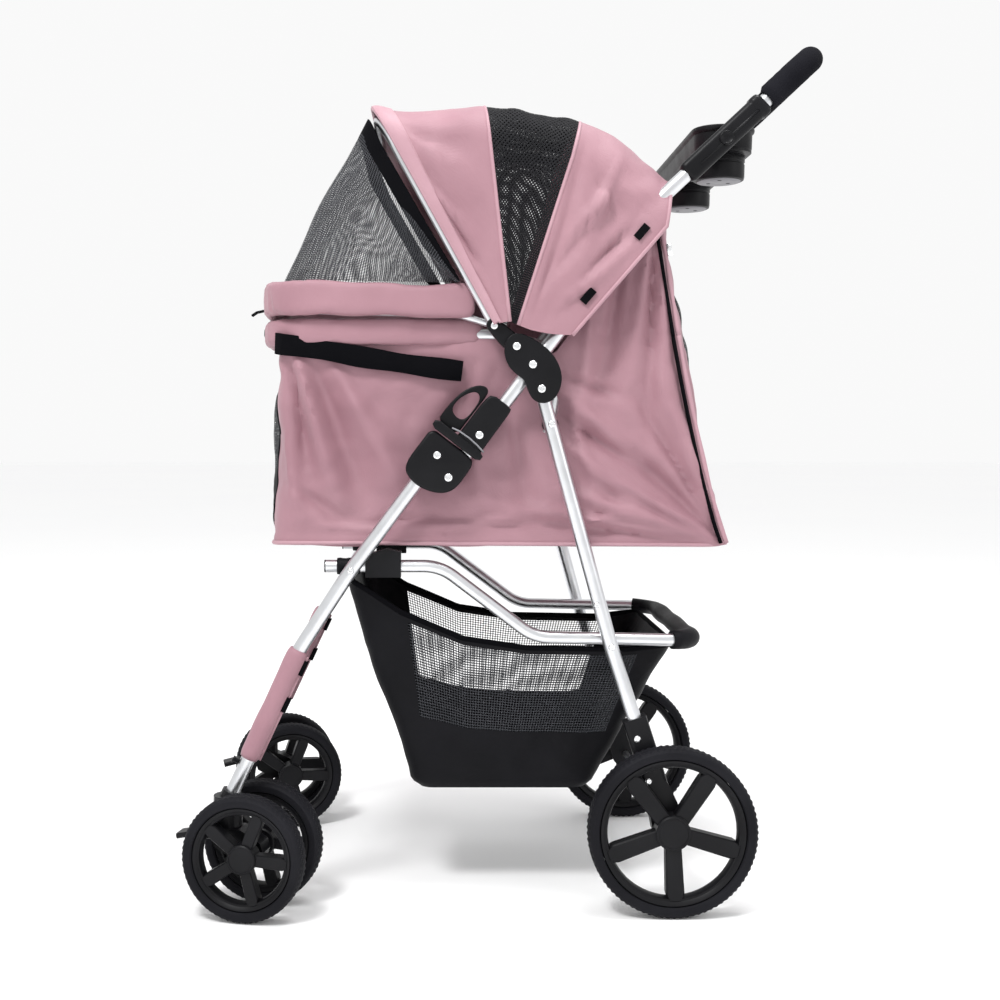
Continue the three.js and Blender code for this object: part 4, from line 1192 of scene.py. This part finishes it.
def hood_panel(name, first, last, count, thick, material, sag, seed):
    """One panel of the hood, stretched between two hoops."""
    rows = []
    for r in range(count + 1):
        w = r / count
        k = first + (last - first) * w
        row = np.array(hoop(*hoop_at(k), 46))
        middle = math.sin(math.pi * w)
        centre = np.array([20.0, 0, 700.0])
        inward = centre - row
        inward /= np.linalg.norm(inward, axis=1, keepdims=True)
        height = np.clip((row[:, 2] - 655) / 120, 0, 1)
        x, z = row[:, 0], row[:, 2]
        folds = crease(x, z, HOOD_FOLDS) if material is ROSE else np.zeros(len(row))
        uneven = rumple(row, 60, seed) * 9.0 + rumple(row, 24, seed + 4) * 3.4
        edge = min(1.0, min(w, 1 - w) * 5)
        push = sag * middle * height + (folds * 2.3 - uneven * 0.8) * edge * np.minimum(
            1, 0.2 + height)
        rows.append(row + inward * push[:, None])
    return cloth(name, rows, thick, material, None,
                 "mesh_fabric" if material is HOOD_NET else "rose_fabric")


def over_hood(obj):
    start, end = world([(-100, 0, 880)])[0], world([(110, 0, 870)])[0]
    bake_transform(obj)


def area_of(obj):
    return sum(p.area for p in obj.data.polygons) / 2


def flatten(obj, body, level):
    """Rides a soft piece on a body and gives it its own copy of its mesh; level changes nothing."""
    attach(obj, body)
    tuple(world([(0, 0, level)])[0])
    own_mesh(obj)


def declare(obj, width):
    """Works out a sheet's area and keeps nothing of it; width is not used."""
    area = area_of(obj)


def hood():
    """The hood's panels, hem, piping and tabs."""
    panels = [hood_panel("hood_front_panel", 0.75, 2, 16, 1.3, ROSE, 2, 2.5),
              hood_panel("hood_net_panel", 2, 4, 22, 0.8, HOOD_NET, 3, 6.5),
              hood_panel("hood_rear_panel", 4, 7, 34, 1.3, ROSE, 2, 9.5)]
    hem = []
    for w in np.linspace(0, 1, 9):
        f, s, t, h = hoop_at(0.78 * w)
        row = np.array(hoop(f, s, t, h + 1.6 + 1.2 * math.sin(math.pi * w), 46))
        row[:, 2] += 1.6 * math.sin(math.pi * w)
        row[:, 0] -= 1.5 * (1 - w)
        hem.append(row)
    panels.append(cloth("hood_hem_band", hem, 2.6, ROSE_EDGE, None, "rose_fabric"))
    for name, k, radius in (("hood_piping_front", 2.0, 2.1), ("hood_piping_rear", 4.0, 2.1),
                            ("hood_edge_roll", 0.0, 3.0), ("hood_rear_roll", 6.98, 2.2),
                            ("hood_hem_seam", 0.8, 1.5)):
        line = [p * np.array([1, 1.004, 1]) for p in map(np.array, hoop(*hoop_at(k), 46))]
        roll = piece(name, *swept(line, lambda s, r=radius: circle(r, 10)), ROSE_EDGE, None,
                     "rose_fabric")
        panels.append(roll)
    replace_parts(panels[0], "canopy")
    for obj in panels:
        over_hood(obj)
    for obj, width in zip(panels[:4], (0.9, 0.9, 0.85, 0.95)):
        declare(obj, width)
    for name, side in SIDES:
        for k, (x, z) in enumerate(((102.7, 680), (162, 750.6))):
            a, b = offset((x, z), (x + 60, z + 70), -9, 0), offset((x, z), (x + 60, z + 70), 9, 0)
            line = refined([lift(a, side * 187.5), lift(b, side * 187.5)], 3)
            strip(f"hood_tab_{name}_{k + 1}", line, 9, 3, BLACK_TAPE, "handle_frame",
                  "black_plastic", (0, side, 0))


def front_net():
    """The netting from the bow down to the gate, and its zip tape."""
    def low_line(half, nose, count):
        corner = 52
        flat = [(-40, half), ((nose - 40) * 0.55, half)]
        for s in range(11):
            a = s / 10 * math.pi / 2
            flat.append((nose + corner * (1 - math.sin(a)), half - corner * (1 - math.cos(a))))
        flat += [(nose - 1, half * 0.35), (nose - 2, 0)]
        lengths = np.concatenate([[0], np.cumsum(np.linalg.norm(np.diff(flat, axis=0), axis=1))])
        at = np.linspace(0, lengths[-1], count)
        xs = np.interp(at, lengths, [p[0] for p in flat])
        ys = np.interp(at, lengths, [p[1] for p in flat])
        return [(x, -y) for x, y in zip(xs, ys)] + [(x, y) for x, y in zip(xs[:-1][::-1],
                                                                           ys[:-1][::-1])]

    top = hoop((-39, 697.6), (-126, 851), (-142, 886), 172, 46)
    count = (len(top) + 1) // 2
    low = [(x, y, 697.6 - (x + 24) * 0.02) for x, y in low_line(155, -242, count)]
    rows = []
    for r in range(31):
        w = r / 30
        row = []
        for k, (p, q) in enumerate(zip(top, low)):
            puff = 4 * math.sin(math.pi * w) * min(1, (p[2] - 690) / 80)
            wave = 2.2 * math.sin(w * 9 + k * 0.55) * math.sin(math.pi * w)
            row.append((p[0] * (1 - w) + q[0] * w - puff * 0.8 + wave,
                        (p[1] * (1 - w) + q[1] * w) * (1 + 0.012 * math.sin(math.pi * w)),
                        p[2] * (1 - w) + q[2] * w + puff * 0.4 + wave * 0.4))
        rows.append(row)
    net = cloth("front_net", rows, 0.8, FRONT_NET, "hood", "mesh_fabric")
    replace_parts(net, "front_mesh")
    declare(net, 0.8)
    tape = []
    for w in (0.0, 0.025, 0.05, 0.075, 0.1):
        row = []
        for p, q in zip(top, low):
            span = math.dist(p, q)
            share = w * 230 / max(span, 60)
            row.append((p[0] + (q[0] - p[0]) * share - 0.6, (p[1] + (q[1] - p[1]) * share) * 1.008,
                        p[2] + (q[2] - p[2]) * share + 1.0))
        tape.append(row)
    zip_tape = cloth("front_zip_tape", tape, 1.6, BLACK_TAPE, "hood", "mesh_fabric")
    declare(zip_tape, 0.03)


# ---- basket --------------------------------------------------------------------------------------
def basket():
    """The basket's cloth with its netted sides, its base and the binding along its top."""
    levels = [(119, -82, 108, 112), (127, -92, 117, 117), (192, -112, 150, 126),
              (288, -146, 205, 139), (362, -166, 222, 141)]
    zs = [v[0] for v in levels]
    edge_x = [-170, -141, -107.8, -37.3, 42.2, 167, 212, 230]
    edge_z = [372, 352, 326, 296, 285, 283, 288, 290]
    rows, columns = 46, 240
    grid = np.zeros((rows, columns, 3))
    for r in range(rows):
        t = r / (rows - 1)
        for c in range(columns):
            s = c / columns
            top = 330.0
            for _ in range(4):
                z = BASKET_FOOT + (top - BASKET_FOOT) * t
                x0, x1, half = (float(np.interp(z, zs, [v[i] for v in levels])) for i in (1, 2, 3))
                corner = 16
                straight = 2 * (half - corner), (x1 - x0) - 2 * corner
                quarter = corner * math.pi / 2
                total = 2 * sum(straight) + 4 * quarter
                x, y, nx, ny = rect_walk(s * total, straight, quarter, corner)
                x += (x0 + x1) / 2
                share = (x - x0) / (x1 - x0)
                top = float(np.interp(-160 + share * 385, edge_x, edge_z))
            p = np.array([x, y, z])
            uneven = noise.noise(Vector((x / 46, y / 46, z / 46))) * 3.4
            uneven += noise.noise(Vector((x / 18 + 9, y / 18, z / 18))) * 1.1
            free = min(1, max(0, (z - 118) / 14)) * min(1, (1 - t) * 9)
            grid[r, c] = p + np.array([nx, ny, 0]) * (uneven - 2.0 * abs(ny)
                                                      * math.sin(math.pi * t)) * free

    middle = grid[rows // 2]
    netted = [abs(y) > 95 and -86 < x < 136 for x, y, _ in middle]
    shell = cloth("basket_cloth", grid, 1.4, [BLACK_CLOTH, BASKET_NET], None, "black_fabric", True,
                  cell=lambda r, c: int(netted[c] and 17 < r < rows - 3))
    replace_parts(shell, "basket")
    parts = [shell]
    loops = [[(x + 11, y, z) for x, y in round_rect(95 - inset, 112 - inset, 15, 5)]
             for z, inset in ((119, 5), (119, 1), (121, 0), (128, 1), (130, 3), (130, 8))]
    parts.append(sharp(piece("basket_base", *lofted(loops), BLACK_CLOTH, None, "black_fabric"), 50))
    top = [grid[rows - 1, c] for c in range(columns)] + [grid[rows - 1, 0]]
    parts.append(piece("basket_binding", *swept(top, lambda s: round_rect(1.6, 3.4, 1.5, 3),
                                                caps=False), BLACK_TAPE, None, "black_fabric"))
    for obj in parts:
        flatten(obj, "basket_frame", BASKET_LEVEL)
    declare(shell, 1.3)


def hangers():
    """Black cloth that wraps the basket's front and rear edges round the basket ring."""
    path = basket_path()
    rear = [p for p in path if p[0] > 196]
    line = refined(rear, 5)
    sleeve = piece("basket_rear_wrap", *swept(line, lambda s: circle(
        10.2 + 0.7 * math.sin(s * 19) + 0.4 * math.sin(s * 11 + 1), 22)), BLACK_CLOTH,
        "basket_frame", "black_fabric")
    for name, side in SIDES:
        line = refined([lift((-176, 379), side * 149), lift((-150, 379), side * 149)], 3)
        piece(f"basket_front_wrap_{name}", *swept(line, lambda s: circle(
            9.2 + 0.4 * math.sin(s * 14), 20)), BLACK_CLOTH, "basket_frame", "black_fabric")
    rod = refined([np.array([-163, y, 372.0]) for y in (-146, 146)], 6)
    piece("basket_front_cord", *swept(rod, lambda s: round_rect(2.2, 5.5, 1.8, 3)), BLACK_CLOTH,
          "basket_frame", "black_fabric")


# ---- small cloth and fittings --------------------------------------------------------------------
def leg_sleeves():
    """The padded covers on the front legs, with their seams, tabs and pins."""
    bend, foot = (-217, 288), (-302, 106)
    for name, side in SIDES:
        stop = between(bend, foot, 0.66)
        line = refined([lift(bend, side * SIDE_Y), lift(stop, side * SIDE_Y)], 4)

        def section(share):
            end = min(share, 1 - share) * 132
            r = 11.2 - 1.5 * math.exp(-end / 3) + 0.15 * math.sin(share * 21)
            return [(x, y * (1.02 + 0.03 * math.sin(share * 11))) for x, y in circle(r, 28)]

        cover = piece(f"leg_cover_{name}", *swept(line, section), ROSE, "front_frame",
                      "rose_fabric")
        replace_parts(cover, f"leg_sleeve_{name}")
        seam = [offset(bend, foot, d, 11.4) for d in (3, 130)]
        piece(f"leg_seam_{name}", *swept([lift(p, side * SIDE_Y) for p in seam],
                                         lambda s: round_rect(1.0, 2.2, 0.9, 3)), ROSE_EDGE,
              "front_frame", "rose_fabric")
        for k, d in enumerate((8, 53)):
            a, b = offset(bend, foot, d, 12.6), offset(bend, foot, d + 17, 12.6)
            tab = swept([lift(a, side * SIDE_Y), lift(b, side * SIDE_Y)],
                        lambda s: round_rect(4.6, 3.2, 1.6, 3))
            piece(f"leg_tab_{name}_{k + 1}", *tab, BLACK_TAPE, "front_frame", "black_fabric")
        pin = offset(bend, foot, 141, -11)
        profile = [(0, 0), (2.6, 0), (2.6, 6), (4, 6.5), (4, 8), (0, 8.6)]
        away = Vector(lift(offset(bend, foot, 141, -20), 0) - lift(pin, 0)).normalized()
        start = lift(offset(bend, foot, 141, -7.5), side * SIDE_Y)
        piece(f"leg_pin_{name}", *turned(profile, start, away, 20), PLASTIC, "front_frame",
              "black_plastic")


def cabin_set():
    """The cabin with its floor, piping, side straps and rear zips."""
    low, high = cabin()
    floor_loops = [[(x + 6, y, z) for x, y in round_rect(252 - i, 141 - i, 22, 5)]
                   for z, i in ((401.6, 4), (402, 0), (410, 0), (411, 3))]
    floor = sharp(piece("cabin_floor", *lofted(floor_loops), ROSE, None, "rose_fabric"), 50)
    loop = [np.array([6 + x, y, 404.5 + 1.2 * math.sin(x / 21.0) + 0.8 * math.sin(y / 17.0)])
            for x, y in round_rect(256.5, 146.8, 24, 9)]
    loop = refined(loop + [loop[0]], 6)
    piping = piece("cabin_piping", *swept(loop, lambda s: circle(2.4, 10), caps=False), ROSE_EDGE,
                   None, "rose_fabric")
    squashed = [low, floor, piping]
    for name, side in SIDES:
        line = [(-246, 120, 633), (-246, 138, 631), (-238, 149.5, 629), (-222, 152.5, 627),
                (-190, 153, 622), (-150, 153.4, 615), (-115, 153.6, 609.5), (-75, 153.2, 603.5),
                (-35, 152.6, 598.6)]
        points = refined([np.array([x, side * y, z]) for x, y, z in line], 5)
        rings = []
        for i, p in enumerate(points):
            along = points[min(i + 1, len(points) - 1)] - points[max(i - 1, 0)]
            out = np.array([along[1] * -side, along[0] * side, 0])
            out = -out / max(np.linalg.norm(out), 1e-9)
            if out[1] * side < 0:
                out = -out
            across = np.cross(out, along / np.linalg.norm(along))
            across /= np.linalg.norm(across)
            if across[2] < 0:
                across = -across
            half = 11.5 + 0.7 * math.sin(i * 0.35)
            bulge = out * (0.8 * math.sin(i * 0.5))
            rings.append([tuple(p + bulge + across * a * half + out * b) for a, b in
                          ((-1, -0.8), (-1, 0.6), (-0.95, 1.0), (0.95, 1.0), (1, 0.6), (1, -0.8))])
        strap = sharp(piece(f"side_strap_{name}", *lofted(rings), BLACK_TAPE, None,
                            "black_fabric"), 60)
        squashed.append(strap)
    for obj in squashed:
        flatten(obj, "rear_frame", RIM_Z)
    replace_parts(low, "cabin")
    declare(low, 1.45)
    uppers = [high]
    for name, side in SIDES:
        edge = []
        for k in range(61):
            w = k / 60
            x = rear_edge(w)
            z = 405 + (785 - 405) * w
            edge.append(np.array([x - 12 - 2 * w, side * (147.5 + 1.2 * math.sin(w * 9)), z]))
        lows = [p for p in edge if p[2] <= RIM_Z + 1]
        highs = [p for p in edge if p[2] >= RIM_Z - 6]
        for tag, line, squash in (("low", lows, True), ("high", highs, False)):
            width = 4.2 if squash else 5.6
            tape = piece(f"rear_zip_{tag}_{name}", *swept(line, lambda s, w=width: round_rect(
                w, 1.8, 1.4, 3)), BLACK_TAPE, None, "black_fabric")
            lip = [p + np.array([6.2, side * 1.2, 0]) for p in line]
            roll = piece(f"rear_lip_{tag}_{name}", *swept(lip, lambda s: circle(
                2.6 + 0.4 * math.sin(s * 19), 12)), ROSE_EDGE, None, "rose_fabric")
            for obj in (tape, roll):
                if squash:
                    flatten(obj, "rear_frame", RIM_Z)
                else:
                    uppers.append(obj)
        pull = lift((197, 742), side * 152)
        body = swept([pull, pull + np.array([2.5, 0, -13.0])], lambda s: round_rect(1.4, 3.0, 1, 3))
        uppers.append(piece(f"rear_pull_{name}", *body, RIVET, None, "steel_tube"))
    start, end = world([(95, 0, 600)])[0], world([(190, 0, 775)])[0]
    for obj in uppers:
        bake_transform(obj)
    declare(high, 0.75)
    pull = np.array([-258.0, -30.0, 545.0])
    tag = piece("front_pull", *swept([pull, pull + np.array([-3.0, 0, -14.0])],
                                     lambda s: round_rect(3.0, 1.3, 1, 3)), RIVET, None,
                "steel_tube")
    flatten(tag, "rear_frame", RIM_Z)


def front_catch():
    """The small lever and strap at the front that hold the gate down on the rim."""
    arm = [(-266, 668), (-273, 664), (-277, 652), (-274, 641), (-266, 634), (-258, 633),
           (-258, 640), (-264, 642), (-268, 650), (-266, 660), (-259, 664), (-258, 668)]
    lever = plate("gate_lever", [softened(arm[::-1], 1)], -9, 9, 1, 1.2, PLASTIC, None,
                  "black_plastic")
    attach(lever, "rear_frame")
    rivet("gate_lever_rivet_left", (-266, 640), 9, -1, "rear_frame", 3.4)
    rivet("gate_lever_rivet_right", (-266, 640), 9, 1, "rear_frame", 3.4)
    line = [np.array(p, float) for p in ((-262, 0, 676), (-268, 0, 679), (-277, 0, 680),
                                         (-286, 0, 678), (-292, 0, 674))]
    strip("gate_strap", refined(line, 2), 16, 1.8, BLACK_TAPE, "hood", "black_fabric", (0, 0, 1))


def cad_parts():
    """Plastic pieces that keep their CAD shape: finer edges and a moulded finish."""
    for obj in NODES.values():
        if obj.hide_render:
            continue
        obj.data.materials.clear()
        obj.data.materials.append(PLASTIC)
        for face in obj.data.polygons:
            face.use_smooth = True
        soft = obj.modifiers.new("edges", "BEVEL")
        soft.width = 0.0012
        soft.segments = 2
        soft.limit_method = "ANGLE"
        soft.angle_limit = math.radians(40)
        obj.data.set_sharp_from_angle(angle=math.radians(50))


stage()
tubes()
grip()
arm_sleeves()
tray()
hinges()
latches()
wheels()
rims()
hood()
front_net()
basket()
hangers()
leg_sleeves()
cabin_set()
front_catch()
cad_parts()
